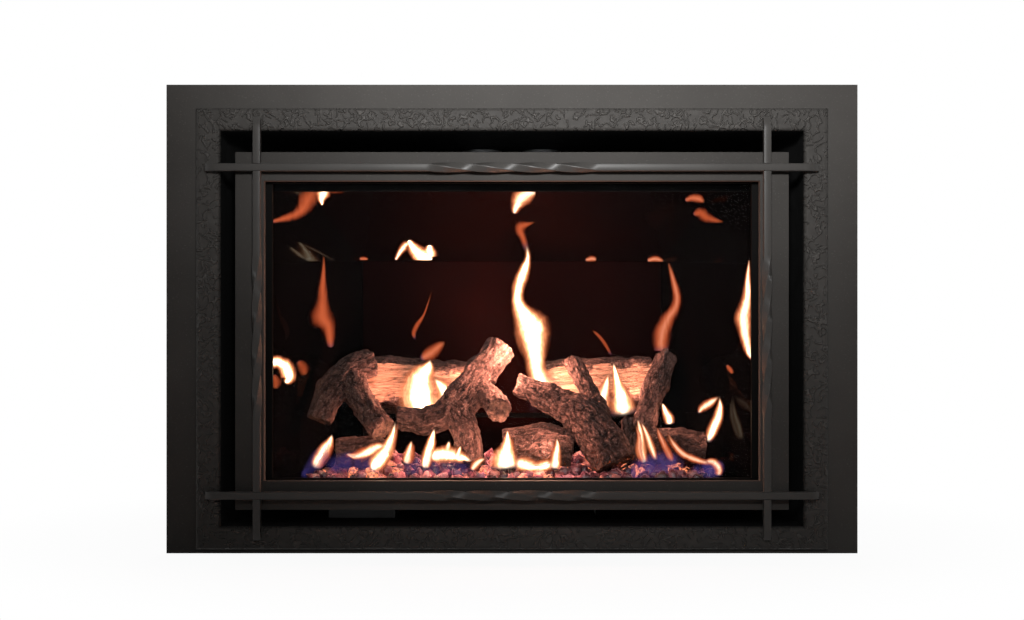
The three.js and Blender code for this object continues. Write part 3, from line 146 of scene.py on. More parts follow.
class StageSettings(bpy.types.PropertyGroup):
    """Camera, floor and lamps."""

    distance: length("Distance", "Camera to the surround's face", 2.449)
    height: length("Height", "Height of the camera", 0.421)
    lens: number("Lens", "Focal length", 50.0)
    front_lamps: number("Front lamps", "Strength of the two lamps before the front", 1.0)
    fill_lamp: number("Fill lamps", "Power of a side lamp", 1.2)
    ambient: number("Ambient", "Strength of the even light", 0.03)
    fire_lamps: number("Fire lamps", "Power of the lamps in the flames", 2.2)


SETTINGS = {
    "insert_front": FrontSettings,
    "insert_logs": LogSettings,
    "insert_embers": EmberSettings,
    "insert_flames": FlameSettings,
    "insert_stage": StageSettings,
}


# ---------------------------------------------------------------- node trees


def find(sockets, name):
    """The socket in use with this identifier or name, where _ may stand for a space."""
    spaced = name.replace("_", " ")
    for wanted in (name, spaced):
        for key in ("identifier", "name"):
            for socket in sockets:
                if socket.enabled and getattr(socket, key) == wanted:
                    return socket
    return sockets[spaced]


class Wire:
    """An output socket that takes part in sums."""

    def __init__(self, graph, socket):
        self.graph = graph
        self.socket = socket

    def math(self, operation, *values, clamp=False):
        return self.graph.ordered("ShaderNodeMath", {"operation": operation, "use_clamp": clamp}, *values)

    def __abs__(self):
        return self.math("ABSOLUTE", self)

    def clamp(self):
        return self.math("ADD", self, 0.0, clamp=True)

    def most(self, other):
        return self.math("MAXIMUM", self, other)


for sign, kind in {"add": "ADD", "sub": "SUBTRACT", "mul": "MULTIPLY", "truediv": "DIVIDE", "pow": "POWER"}.items():
    setattr(Wire, f"__{sign}__", lambda self, other, kind=kind: self.math(kind, self, other))
    setattr(Wire, f"__r{sign}__", lambda self, other, kind=kind: self.math(kind, other, self))


class Graph:
    """Makes the nodes of one tree."""

    def __init__(self, tree):
        self.tree = tree

    def feed(self, socket, value):
        if isinstance(value, Wire):
            self.tree.links.new(value.socket, socket)
        elif value is not None:
            socket.default_value = value

    def ordered(self, kind, settings, *values):
        """A node whose inputs are given in their order. A list gives one input several wires."""
        made = self.node(kind, settings).socket.node
        for socket, value in zip(made.inputs, values):
            for one in value if isinstance(value, list) else [value]:
                self.feed(socket, one)
        return Wire(self, made.outputs[0])

    def node(self, kind, settings=None, out=0, **values):
        """A node whose inputs are given by their names, and the output that is asked for."""
        made = self.tree.nodes.new(kind)
        for name, value in (settings or {}).items():
            if name == "stops":
                ramp = made.color_ramp.elements
                while len(ramp) < len(value):
                    ramp.new(0.5)
                for element, (position, colour) in zip(ramp, value):
                    element.position = position
                    element.color = (*colour, 1.0)
            else:
                setattr(made, name, value)
        for name, value in values.items():
            self.feed(find(made.inputs, name), value)
        return Wire(self, find(made.outputs, out) if isinstance(out, str) else made.outputs[out])

    def blend(self, factor, first, second):
        """A colour between two colours."""
        pair = [(*c, 1.0) if isinstance(c, tuple) else c for c in (first, second)]
        settings = {"data_type": "RGBA"}
        return self.node(
            "ShaderNodeMix", settings, "Result_Color", Factor_Float=factor, A_Color=pair[0], B_Color=pair[1]
        )

    def noise(self, where, scale, detail=3.0, rough=0.5, warp=0.0, out="Fac"):
        return self.node(
            "ShaderNodeTexNoise", {"noise_dimensions": "3D"}, out,
            Vector=where, Scale=scale, Detail=detail, Roughness=rough, Distortion=warp,
        )

    def bend(self, where, scale, detail, rough):
        """A shift that wanders to every side."""
        return self.vector("SUBTRACT", self.noise(where, scale, detail, rough, out="Color"), (0.5, 0.5, 0.5))

    def between(self, value, low, high, start=0.0, end=1.0):
        """Maps a range smoothly, and holds it at its ends."""
        return self.node(
            "ShaderNodeMapRange", {"interpolation_type": "SMOOTHSTEP"}, "Result",
            Value=value, From_Min=low, From_Max=high, To_Min=start, To_Max=end,
        )

    def vector(self, operation, first, second=None, scale=None):
        made = self.ordered("ShaderNodeVectorMath", {"operation": operation}, first, second)
        if scale is not None:
            self.feed(find(made.socket.node.inputs, "Scale"), scale)
        return made

    def axis(self, vector, name):
        return self.node("ShaderNodeSeparateXYZ", None, name, Vector=vector)

    def attribute(self, name, out="Fac"):
        return self.node("ShaderNodeAttribute", {"attribute_name": name}, out)

    def cracks(self, where, scale, width):
        """Nought in the cracks between irregular plates, one on the plates."""
        settings = {"feature": "DISTANCE_TO_EDGE"}
        edge = self.node("ShaderNodeTexVoronoi", settings, "Distance", Vector=where, Scale=scale)
        return self.between(edge, 0.0, width)

    def split_share(self, grain, split, span):
        """The bare wood of a split log, with bark that creeps over its edges."""
        creep = self.noise(grain, 26.0, 4.0, 0.6) - 0.5
        return split * self.between(span + creep * 1.1, 0.98, 0.84)

    def strokes(self, where, spacing):
        """Short wandering ridges, as a forging hammer leaves: pieces of level lines of bent noises, from the front."""
        flat = self.vector("MULTIPLY", where, (1.0, 0.0, 1.0))
        pitch = 1.0 / spacing
        sway = self.bend(flat, pitch * 0.6, 2.0, 0.5)
        bent = self.vector("ADD", flat, self.vector("SCALE", sway, scale=spacing * 1.2))
        made = []
        for shift, pace in (((0.0, 0.0, 0.0), 0.95), ((3.1, 1.7, 5.3), 1.2)):
            spot = self.vector("ADD", bent, shift)
            line = self.between(abs(self.noise(spot, pitch * pace, 0.0) - 0.5), 0.070, 0.012)
            made.append(line * self.between(self.noise(spot, pitch * 1.1, 0.0), 0.45, 0.54))
        return made[0].most(made[1])


def scaled(colour, share):
    return tuple(c * share for c in colour)


class Finish(Graph):
    """A material with one shader, whose fixed values stand on its own sockets."""

    def __init__(self, name, **fixed):
        self.material = bpy.data.materials.new(name)
        self.material.use_nodes = True
        super().__init__(self.material.node_tree)
        self.tree.nodes.clear()
        self.shader = self.tree.nodes.new("ShaderNodeBsdfPrincipled")
        self.end = self.tree.nodes.new("ShaderNodeOutputMaterial")
        self.tree.links.new(self.shader.outputs[0], self.end.inputs["Surface"])
        self.coords = self.node("ShaderNodeTexCoord", None, "Object")
        for socket, value in fixed.items():
            self.set(socket.replace("_", " "), value)

    def set(self, socket, value):
        self.feed(self.shader.inputs[socket], (*value, 1.0) if isinstance(value, tuple) else value)

    def bump(self, height, distance, strength=1.0):
        self.set("Normal", self.node("ShaderNodeBump", Height=height, Distance=distance, Strength=strength))

    def glow(self, colour, strength):
        self.set("Emission Color", colour)
        self.set("Emission Strength", strength)

    def spots(self, scale, detail=3.0, rough=0.5):
        """Noise over the piece itself."""
        return self.noise(self.coords, scale, detail, rough)

    def along(self, vector, scale, *noise):
        """Noise that is drawn out."""
        return self.noise(self.vector("MULTIPLY", vector, scale), *noise)


# ---------------------------------------------------------------- finishes


def powder_coat(name, colour, rough=0.48, pebble=0.00006, specular=0.02):
    f = Finish(name, Specular_IOR_Level=specular, Metallic=0.0)
    clouds = f.spots(7.0, 4.0)
    specks = f.between(f.spots(420.0, 1.0), 0.66, 0.74)
    scuffs = f.between(f.spots(16.0, 8.0, 0.75), 0.66, 0.8)
    base = f.blend(clouds, scaled(colour, 0.78), scaled(colour, 1.35))
    f.set("Base Color", f.blend(specks * 0.35 + scuffs * 0.18, base, scaled(colour, 2.4)))
    f.set("Roughness", rough - 0.08 + 0.12 * clouds + 0.06 * scuffs)
    f.bump(f.spots(950.0, 2.0) * 0.7 + f.spots(240.0, 2.0) * 0.5, pebble)
    return f.material


def forged_coat(name, colour, spacing):
    f = Finish(name, Specular_IOR_Level=0.05, Metallic=0.0)
    relief = f.attribute("relief")
    clouds = f.spots(9.0, 4.0)
    # Lighter on the highest ridges: partly rubbed wear, partly painted highlight.
    rubbed_and_lit = f.between(relief, 0.55, 0.95)
    base = f.blend(clouds, scaled(colour, 0.85), scaled(colour, 1.2))
    # Darker where the relief is lowest, in the hollows and on the band's turned-back edges: painted shade.
    base = f.blend(f.between(relief, 0.0, 0.18, 1.0, 0.0) * 0.5, base, scaled(colour, 0.7))
    f.set("Base Color", f.blend(rubbed_and_lit * 0.25, base, scaled(colour, 1.9)))
    f.set("Roughness", 0.46 - 0.12 * rubbed_and_lit + 0.08 * clouds)
    pits = f.spots(420.0, 3.0, 0.6) + f.spots(1100.0, 1.0) * 0.4
    f.bump(f.strokes(f.coords, spacing) + pits * 0.12, 0.0016)
    return f.material


def black_glass(name, specular, film_and_glow_colour, far_share=1.0):
    """Polished black ceramic glass with a faint cloudy film of soot. A reddish film colour, as on the rear and ceiling
    liners, is painted glow of the fire, which shows less away from the middle flames.
    """
    f = Finish(name, Specular_IOR_Level=specular)
    film = f.between(f.spots(5.0, 6.0, 0.6), 0.45, 0.75)
    # Painted glow: the film colour is brightest near the middle flames.
    near = f.between(abs(f.axis(f.coords, "X")), 0.30, 0.02)
    tinted = f.blend(film * 0.7, scaled(film_and_glow_colour, 0.6), film_and_glow_colour)
    f.set("Base Color", f.blend(near, f.vector("SCALE", tinted, scale=far_share), tinted))
    f.set("Roughness", 0.03 + 0.06 * film * f.spots(38.0, 5.0, 0.7))
    f.bump(f.spots(14.0, 1.0), 0.00018, 0.6)
    return f.material


def clear_glass(name):
    f = Finish(name, Roughness=0.02, Specular_IOR_Level=0.5)
    film = f.spots(11.0, 5.0, 0.6)
    f.set("Base Color", f.blend(film, (0.010, 0.011, 0.011), (0.024, 0.024, 0.023)))
    f.set("Alpha", 0.014 + 0.018 * film)
    f.bump(film, 0.00008)
    return f.material


def zinc_sheet(name, colour=(0.36, 0.37, 0.38), rough=0.42, spangle=70.0):
    """Galvanised sheet with its spangle, near black where it is marked as inside: black paint darkened into painted
    shade of the casing's inside.
    """
    f = Finish(name, Specular_IOR_Level=0.2)
    inside = f.attribute("inside")
    cells = f.node("ShaderNodeTexVoronoi", {"feature": "F1"}, "Color", Vector=f.coords, Scale=spangle, Randomness=1.0)
    tone = f.node("ShaderNodeSeparateColor", None, "Red", Color=cells)
    base = f.blend(tone, scaled(colour, 0.90), scaled(colour, 1.12))
    stain = f.between(f.spots(4.0, 7.0, 0.65), 0.58, 0.75)
    base = f.blend(stain * 0.35, base, scaled(colour, 0.5))
    # Painted shade: the marked inward faces and the collars' lower parts go near black.
    f.set("Base Color", f.blend(inside, base, (0.0007, 0.0007, 0.0007)))
    f.set("Metallic", 0.85 * (1.0 - inside))
    f.set("Roughness", rough - 0.06 + 0.1 * tone + 0.12 * f.spots(12.0, 5.0) + 0.3 * inside)
    f.bump(tone * 0.6 + f.spots(300.0, 2.0) * 0.5, 0.00005)
    return f.material


def machined(name, colour, rough):
    """Turned or drawn metal with fine lines and handling marks."""
    f = Finish(name, Metallic=0.95)
    lines = f.noise(f.node("ShaderNodeMapping", None, "Vector", Vector=f.coords, Scale=(60.0, 900.0, 900.0)), 1.0, 2.0)
    marks = f.between(f.spots(60.0, 6.0, 0.7), 0.55, 0.8)
    f.set("Base Color", f.blend(marks * 0.5, colour, scaled(colour, 0.55)))
    f.set("Roughness", rough + 0.12 * lines + 0.16 * marks)
    f.bump(lines, 0.00003)
    return f.material


def moulded(name, colour=(0.008, 0.008, 0.008)):
    f = Finish(name, Specular_IOR_Level=0.45)
    grain = f.spots(1400.0, 2.0)
    dust = f.between(f.spots(30.0, 6.0, 0.7), 0.5, 0.8)
    f.set("Base Color", f.blend(dust * 0.4, colour, scaled(colour, 2.5)))
    f.set("Roughness", 0.46 + 0.08 * grain + 0.1 * dust)
    f.bump(grain, 0.00005)
    return f.material


def braided_rope(name):
    f = Finish(name, Specular_IOR_Level=0.2)
    settings = {"wave_type": "BANDS", "bands_direction": "DIAGONAL"}
    strands = f.node("ShaderNodeTexWave", settings, "Fac", Vector=f.coords, Scale=130.0, Distortion=1.5, Detail=2.0)
    soot = f.between(f.spots(20.0, 5.0), 0.4, 0.75)
    base = f.blend(strands, (0.16, 0.15, 0.14), (0.36, 0.35, 0.32))
    f.set("Base Color", f.blend(soot * 0.6, base, (0.06, 0.055, 0.05)))
    f.set("Roughness", 0.85 + 0.1 * soot)
    f.bump(strands, 0.0006)
    return f.material


def bark_and_wood(name, settings):
    """Cast logs: cracked bark, pale split faces with their grain, and rough ends."""
    f = Finish(name, Specular_IOR_Level=0.12)
    relief, end, grain = f.attribute("relief"), f.attribute("end"), f.attribute("grain", "Vector")
    split = f.split_share(grain, f.attribute("split"), f.attribute("span"))
    fibres = f.along(grain, (16.0, 300.0, 300.0), 1.0, 5.0, 0.66, 0.4)
    tears = f.along(grain, (7.0, 110.0, 110.0), 1.0, 3.0, 0.6, 0.8)
    fine = f.between(f.along(grain, (90.0, 330.0, 330.0), 1.0, 4.0, 0.7), 0.36, 0.54)
    mottle = f.noise(grain, 70.0, 6.0, 0.7)
    specks = f.between(f.noise(grain, 330.0, 4.0, 0.7), 0.56, 0.66)
    ridge, furrow, wood = (tuple(c) for c in (settings.ridge, settings.furrow, settings.wood))
    high = f.between(relief, 0.30, 0.85)
    bark = f.blend(high * (0.45 + 0.55 * fine), furrow, ridge)
    bark = f.blend(f.between(mottle, 0.44, 0.66) * 0.65, bark, scaled(ridge, 0.30))
    bark = f.blend(specks * high * 0.6, bark, (0.40, 0.300, 0.265))
    pale = f.blend(f.between(fibres, 0.36, 0.62), scaled(wood, 0.50), wood)
    pale = f.blend(f.between(abs(tears - 0.5), 0.035, 0.0) * 0.85, pale, (0.10, 0.05, 0.035))
    pale = f.blend(f.between(mottle, 0.60, 0.74) * 0.6, pale, (0.13, 0.065, 0.045))
    sawn = f.blend(f.between(mottle, 0.35, 0.65), (0.20, 0.115, 0.085), (0.045, 0.028, 0.024))
    colour = f.blend(end * (0.4 + 0.6 * fine), f.blend(split, bark, pale), sawn)
    height = f.axis(f.coords, "Z")
    charred = f.between(height, 0.205, 0.125) * f.between(mottle, 0.3, 0.6, 0.55, 1.0)
    f.set("Base Color", f.blend(charred * 0.6, colour, (0.014, 0.010, 0.010)))
    f.set("Roughness", 0.80 + 0.15 * mottle)
    # Glow low in the furrows near the burner: partly ember glow, partly painted firelight on the logs.
    ember_glow_and_firelight = f.between(height, 0.180, 0.120) * f.between(relief, 0.50, 0.20) * f.between(mottle, 0.40, 0.60)
    f.glow(f.blend(ember_glow_and_firelight, BLACK, (1.0, 0.20, 0.07)), 0.9)
    f.bump(mottle * 0.7 + fibres * 0.8 + fine * 0.8 + f.noise(grain, 420.0, 3.0, 0.65) * 0.6, 0.0022)
    return f.material


EMBER_TONES = [
    (0.0, (0.008, 0.005, 0.007)),
    (0.25, (0.040, 0.013, 0.022)),
    (0.42, (0.110, 0.030, 0.045)),
    (0.58, (0.200, 0.072, 0.085)),
    (0.72, (0.045, 0.024, 0.060)),
    (0.88, (0.300, 0.135, 0.130)),
    (1.0, (0.020, 0.011, 0.016)),
]


def glass_and_embers(name):
    """Tumbled glass in dark red and purple tones, with glowing pieces among it. Each piece keeps one tone."""
    sheen = {"Sheen_Weight": 0.5, "Sheen_Roughness": 0.25, "Sheen_Tint": (1.0, 0.45, 0.50)}
    f = Finish(name, Specular_IOR_Level=0.35, Coat_Roughness=0.05, **sheen)
    clouds = f.spots(150.0, 4.0, 0.6)
    tone = f.attribute("tone")
    f.set("Base Color", f.node("ShaderNodeValToRGB", {"stops": EMBER_TONES}, "Color", Fac=tone))
    f.set("Roughness", 0.16 + 0.25 * clouds)
    f.set("Coat Weight", f.between(clouds, 0.3, 0.6, 0.3, 0.9))
    lit = f.between(f.attribute("glow"), 0.84, 0.92) * f.between(clouds, 0.38, 0.60)
    f.glow(f.blend(lit, BLACK, f.blend(clouds, (0.9, 0.09, 0.03), (1.0, 0.42, 0.20))), 1.5)
    f.bump(clouds, 0.0009)
    return f.material


FLAME_TONES = [
    (0.0, (1.0, 0.82, 0.58)),
    (0.24, (0.62, 0.40, 0.23)),
    (0.42, (0.27, 0.120, 0.055)),
    (0.60, (0.125, 0.038, 0.0150)),
    (0.82, (0.060, 0.013, 0.0050)),
    (1.0, (0.020, 0.004, 0.002)),
]


def burning_gas(name, glow):
    """Flame tongues: white at the heart, orange and thin at the rim, blue where the gas leaves the bed."""
    f = Finish(name, Roughness=1.0, Specular_IOR_Level=0.0, Base_Color=BLACK)
    rise, warmth = f.attribute("rise"), f.attribute("warmth")
    licks = f.along(f.coords, (1.0, 1.0, 0.45), 42.0, 4.0, 0.6, 0.8) - 0.5
    curls = f.along(f.coords, (1.0, 1.0, 0.5), 130.0, 2.0) - 0.5
    edge = (f.attribute("rim") + 0.60 * licks + 0.22 * curls).clamp()
    core = f.node("ShaderNodeValToRGB", {"stops": FLAME_TONES}, "Color", Fac=edge)
    dull = f.blend(edge, (0.085, 0.0150, 0.0045), (0.020, 0.002, 0.001))
    fire = f.blend(f.between(warmth, 0.35, 1.0) ** 4.0, dull, core)
    fire = f.blend(f.between(rise, 0.70, 1.0) * 0.85, fire, (0.030, 0.007, 0.002))
    fire = f.blend(f.between(rise, 0.16, 0.0) * 0.8, fire, (0.020, 0.013, 0.026))
    is_blue = f.between(warmth, -0.1, -0.4)
    f.glow(f.blend(is_blue, fire, f.blend(rise, (0.010, 0.008, 0.046), (0.022, 0.012, 0.038))), glow)
    body = f.between(edge, 1.0, 0.22) * f.between(rise, 0.0, 0.16) * f.between(rise, 1.0, 0.80)
    faint = f.between(abs(warmth), 0.1, 1.0, 0.06, 0.97)
    veil = f.between(licks, -0.15, 0.12, 0.05, 0.26)
    f.set("Alpha", body * faint * (1.0 - is_blue * (1.0 - veil)))
    return f.material


# ---------------------------------------------------------------- making pieces


def keep_piece(name, mesh, material, body, slot, *nodes):
    """A finished piece at the origin: it rides on its body and stands for its nodes."""
    piece = bpy.data.objects.new(name, mesh)
    bpy.context.collection.objects.link(piece)
    if material is not None:
        mesh.materials.clear()
        mesh.materials.append(material)
    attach(piece, body)
    if nodes:
        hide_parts(*nodes)
    return piece


def smooth_within(mesh, degrees):
    mesh.shade_smooth()
    mesh.set_sharp_from_angle(angle=math.radians(degrees))


def edited(name, mesh, edit=None):
    """A copy of a mesh after an edit of its bmesh."""
    made = bmesh.new()
    made.from_mesh(mesh)
    if edit:
        edit(made)
    result = bpy.data.meshes.new(name)
    made.to_mesh(result)
    made.free()
    return result


def node_copy(node):
    """A joined-up copy of a node's mesh."""
    return edited(
        node + "_base", frame["nodes"][node].data,
        lambda made: bmesh.ops.remove_doubles(made, verts=made.verts, dist=2e-5),
    )


def evaluated(piece):
    graph = bpy.context.evaluated_depsgraph_get()
    return bpy.data.meshes.new_from_object(
        piece.evaluated_get(graph), preserve_all_data_layers=True, depsgraph=graph
    )


def with_modifiers(mesh, *steps):
    """The mesh after a row of modifiers, each a kind and its values."""
    piece = bpy.data.objects.new("work", mesh)
    bpy.context.collection.objects.link(piece)
    for kind, values in steps:
        modifier = piece.modifiers.new(kind.lower(), kind)
        for key, value in values.items():
            setattr(modifier, key, value)
    plain = evaluated(piece)
    bpy.data.objects.remove(piece)
    return plain


def measure(mesh):
    """A mesh's area and volume."""
    made = bmesh.new()
    made.from_mesh(mesh)
    found = np.array([sum(face.calc_area() for face in made.faces), made.calc_volume()])
    made.free()
    return found


def eased_copy(node, width):
    """A node's shape with its sharp edges eased, as long as its area and volume stay what they were."""
    bevel = {
        "width": width, "segments": 2, "limit_method": "ANGLE", "angle_limit": math.radians(40.0),
        "use_clamp_overlap": True, "loop_slide": False,
    }
    level = {"mode": "FACE_AREA", "weight": 100, "keep_sharp": True}
    plain = node_copy(node)

    def flatten(made):
        bmesh.ops.dissolve_limit(made, angle_limit=math.radians(1.0), verts=made.verts, edges=made.edges)

    for edit in (flatten, None):
        mesh = edited(node + "_eased", plain, edit)
        eased = with_modifiers(mesh, ("BEVEL", bevel), ("TRIANGULATE", {"ngon_method": "CLIP"}))
        area_change, volume_change = np.abs(measure(eased) / measure(plain) - 1)
        if area_change < 0.06 and volume_change < 0.04:
            smooth_within(eased, 40.0)
            return with_modifiers(eased, ("WEIGHTED_NORMAL", level))
    smooth_within(plain, 30.0)
    return plain


def paint(material, *nodes):
    for node in nodes:
        for slot in frame["nodes"][node].material_slots:
            slot.material = material


class Shape(Graph):
    """A Geometry Nodes tree with named inputs."""

    KINDS = {float: "NodeSocketFloat", int: "NodeSocketInt", tuple: "NodeSocketVector"}

    def __init__(self, name, inputs, with_mesh=True):
        super().__init__(bpy.data.node_groups.new(name, "GeometryNodeTree"))
        face = self.tree.interface
        face.new_socket(name="Geometry", in_out="OUTPUT", socket_type="NodeSocketGeometry")
        if with_mesh:
            face.new_socket(name="Geometry", in_out="INPUT", socket_type="NodeSocketGeometry")
        for key, value in inputs.items():
            face.new_socket(name=key, in_out="INPUT", socket_type=self.KINDS[type(value)])
        face.new_socket(name="Finish", in_out="INPUT", socket_type="NodeSocketMaterial")
        self.given = inputs
        self.group_in = self.tree.nodes.new("NodeGroupInput")
        self.group_out = self.tree.nodes.new("NodeGroupOutput")

    def input(self, name):
        return Wire(self, self.group_in.outputs[name])

    def named(self, name, kind="FLOAT"):
        return self.node("GeometryNodeInputNamedAttribute", {"data_type": kind}, "Attribute", Name=name)

    def point(self, x=0.0, y=0.0, z=0.0):
        return self.node("ShaderNodeCombineXYZ", X=x, Y=y, Z=z)

    def store(self, geometry, name, value, domain="POINT"):
        settings = {"data_type": "FLOAT", "domain": domain}
        return self.node("GeometryNodeStoreNamedAttribute", settings, Geometry=geometry, Name=name, Value=value)

    def shifted(self, geometry, offset):
        return self.node("GeometryNodeSetPosition", Geometry=geometry, Offset=offset)

    def moved(self, geometry, **values):
        return self.node("GeometryNodeTransform", Geometry=geometry, **values)

    def joined(self, *geometries):
        return self.ordered("GeometryNodeJoinGeometry", {}, list(geometries))

    def close(self, geometry):
        real = self.node("GeometryNodeRealizeInstances", Geometry=geometry)
        done = self.node("GeometryNodeSetMaterial", Geometry=real, Material=self.input("Finish"))
        self.tree.links.new(done.socket, self.group_out.inputs[0])

    def grow(self, finish, mesh=None, **changed):
        """Runs the tree on a mesh and gives a plain one back. In a name, _ stands for a space."""
        piece = bpy.data.objects.new("work", mesh or bpy.data.meshes.new("work"))
        bpy.context.collection.objects.link(piece)
        modifier = piece.modifiers.new("shape", "NODES")
        modifier.node_group = self.tree
        keys = {s.name: s.identifier for s in self.tree.interface.items_tree if s.in_out == "INPUT"}
        values = {key.replace("_", " "): value for key, value in changed.items()}
        for key, value in {**self.given, **values, "Finish": finish}.items():
            modifier[keys[key]] = value
        plain = evaluated(piece)
        piece.modifiers.clear()
        bpy.data.objects.remove(piece)
        if not plain.polygons:
            raise RuntimeError("the tree " + self.tree.name + " made nothing")
        return plain


def along_spline(points, count):
    """Evenly stepped places on a smooth line through rows of numbers."""
    rows = np.asarray(points, float)
    padded = np.vstack([2 * rows[0] - rows[1], rows, 2 * rows[-1] - rows[-2]])
    made = []
    for t in np.linspace(0, len(rows) - 1, count):
        i = min(int(t), len(rows) - 2)
        u = t - i
        a, b, c, d = padded[i : i + 4]
        bent = (2 * a - 5 * b + 4 * c - d) * u * u + (3 * b - a - 3 * c + d) * u ** 3
        made.append(0.5 * (2 * b + (c - a) * u + bent))
    return np.array(made)


def mesh_of(name, points, faces, turn_out=True):
    mesh = bpy.data.meshes.new(name)
    mesh.from_pydata([tuple(p) for p in points], [], faces)
    mesh.update()
    if turn_out:
        made = bmesh.new()
        made.from_mesh(mesh)
        bmesh.ops.recalc_face_normals(made, faces=made.faces)
        made.to_mesh(mesh)
        made.free()
    return mesh


def give(mesh, name, values, kind="FLOAT"):
    """Stores one number or vector for each point."""
    layer = mesh.attributes.new(name, kind, "POINT")
    layer.data.foreach_set("value" if kind == "FLOAT" else "vector", np.asarray(values, np.float32).ravel())


def vectors_of(items, key):
    """The rows of x, y and z that a mesh keeps for its points."""
    flat = np.zeros(len(items) * 3)
    items.foreach_get(key, flat)
    return flat.reshape(-1, 3)


def step(value, low, high):
    t = np.clip((value - low) / (high - low), 0.0, 1.0)
    return t * t * (3 - 2 * t)


def unit(rows):
    return rows / np.linalg.norm(rows, axis=1, keepdims=True)


# ---------------------------------------------------------------- the forged frame

# The band's inner edge as half width, bottom and top, and how far its face and its back lie before the surround.
BAND_WINDOW = (501 * MM, 49 * MM, 728.5 * MM)
BAND_PROUD = 14 * MM
BAND_GAP = 0.3 * MM
CORNERS = [(1, -1), (1, 1), (-1, 1), (-1, -1)]


def forged_band(settings):
    """The frame's band as a closed grid: fine where it is seen, with the share of relief each point takes."""
    low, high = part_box("front_frame")
    outer = (high.x, low.z, high.z)
    face, back = FACE_Y - BAND_PROUD, FACE_Y - BAND_GAP
    radius, width = settings.frame_round, outer[0] - BAND_WINDOW[0]
    edge = [(0.0, back + (face + radius - back) * i / 3, 0.0) for i in range(4)]
    for a in (math.radians(15 * i) for i in range(1, 6)):
        edge.append((radius * (1 - math.cos(a)), face + radius * (1 - math.sin(a)), math.sin(a) ** 2 * 0.8))
    flat = max(4, round((width - 2 * radius) / settings.grid))
    section = edge + [(radius + (width - 2 * radius) * i / flat, face, 1.0) for i in range(flat + 1)]
    section += [(width - across, y, share) for across, y, share in reversed(edge)]
    counts = [round((outer[2] - outer[1]) / settings.grid), round(2 * outer[0] / settings.grid)] * 2
    points, weight = [], []
    for side, count in enumerate(counts):
        first, second = CORNERS[side], CORNERS[(side + 1) % 4]
        for i in range(count):
            f = i / count
            for across, y, share in section:
                t = 1 - across / width
                half, bottom, top = (inner + (out - inner) * t for inner, out in zip(BAND_WINDOW, outer))
                z_first, z_second = (top if corner[1] > 0 else bottom for corner in (first, second))
                x = half * (first[0] + (second[0] - first[0]) * f)
                points.append((x, y, z_first + (z_second - z_first) * f))
                weight.append(share)
    rows, columns = sum(counts), len(section)
    faces = []
    for i in range(rows):
        here, ahead = i * columns, (i + 1) % rows * columns
        for j in range(columns):
            beside = (j + 1) % columns
            faces.append((here + j, ahead + j, ahead + beside, here + beside))
    mesh = mesh_of("front_frame_forged", points, faces)
    give(mesh, "share", weight)
    return mesh


def forged_relief():
    """The strokes and the soft dents between them, raised from the band's face."""
    s = Shape("Forged relief", {"Relief": 0.0, "Spacing": 1.0})
    where = s.node("GeometryNodeInputPosition")
    dents = s.noise(where, 1.0 / s.input("Spacing") * 0.9, 2.0, 0.5)
    height = (s.strokes(where, s.input("Spacing")) + (dents - 0.4) * 0.6) * s.named("share")
    raised = s.store(s.input("Geometry"), "relief", height.clamp())
    s.close(s.shifted(raised, s.vector("SCALE", (0.0, -1.0, 0.0), scale=height * s.input("Relief"))))
    return s


# ---------------------------------------------------------------- the twisted bars

BAR_INPUTS = {
    "Length": 1.0, "Bar": 0.01, "Edge": 0.001, "Twist Middle": 0.0, "Twist Length": 0.2, "Turns": 1.0, "Steps": 100,
    "Curl": 0.02, "Curl Drop": 0.005, "Lap A": 0.0, "Lap B": 0.0, "Lap Side": 0.0, "Peg": 0.0,
    "Turn": (0.0, 0.0, 0.0), "Middle": (0.0, 0.0, 0.0),
}
LAP_SLACK = 0.6 * MM
PEG_RADIUS = 5 * MM
BAR_LINE = -26.35 * MM  # the bars' middle line, before the surround's face
BAR_REACH = 434.5 * MM  # the uprights, and so the crossings, to each side
BAR_LEVELS = (105 * MM, 664 * MM)
UPRIGHT_ENDS = (32.5 * MM, 746.5 * MM)
UPRIGHT_TWIST = 374 * MM
BAR_FORM = {"Curl": 15.5 * MM, "Curl_Drop": 6 * MM, "Turns": 1.0}


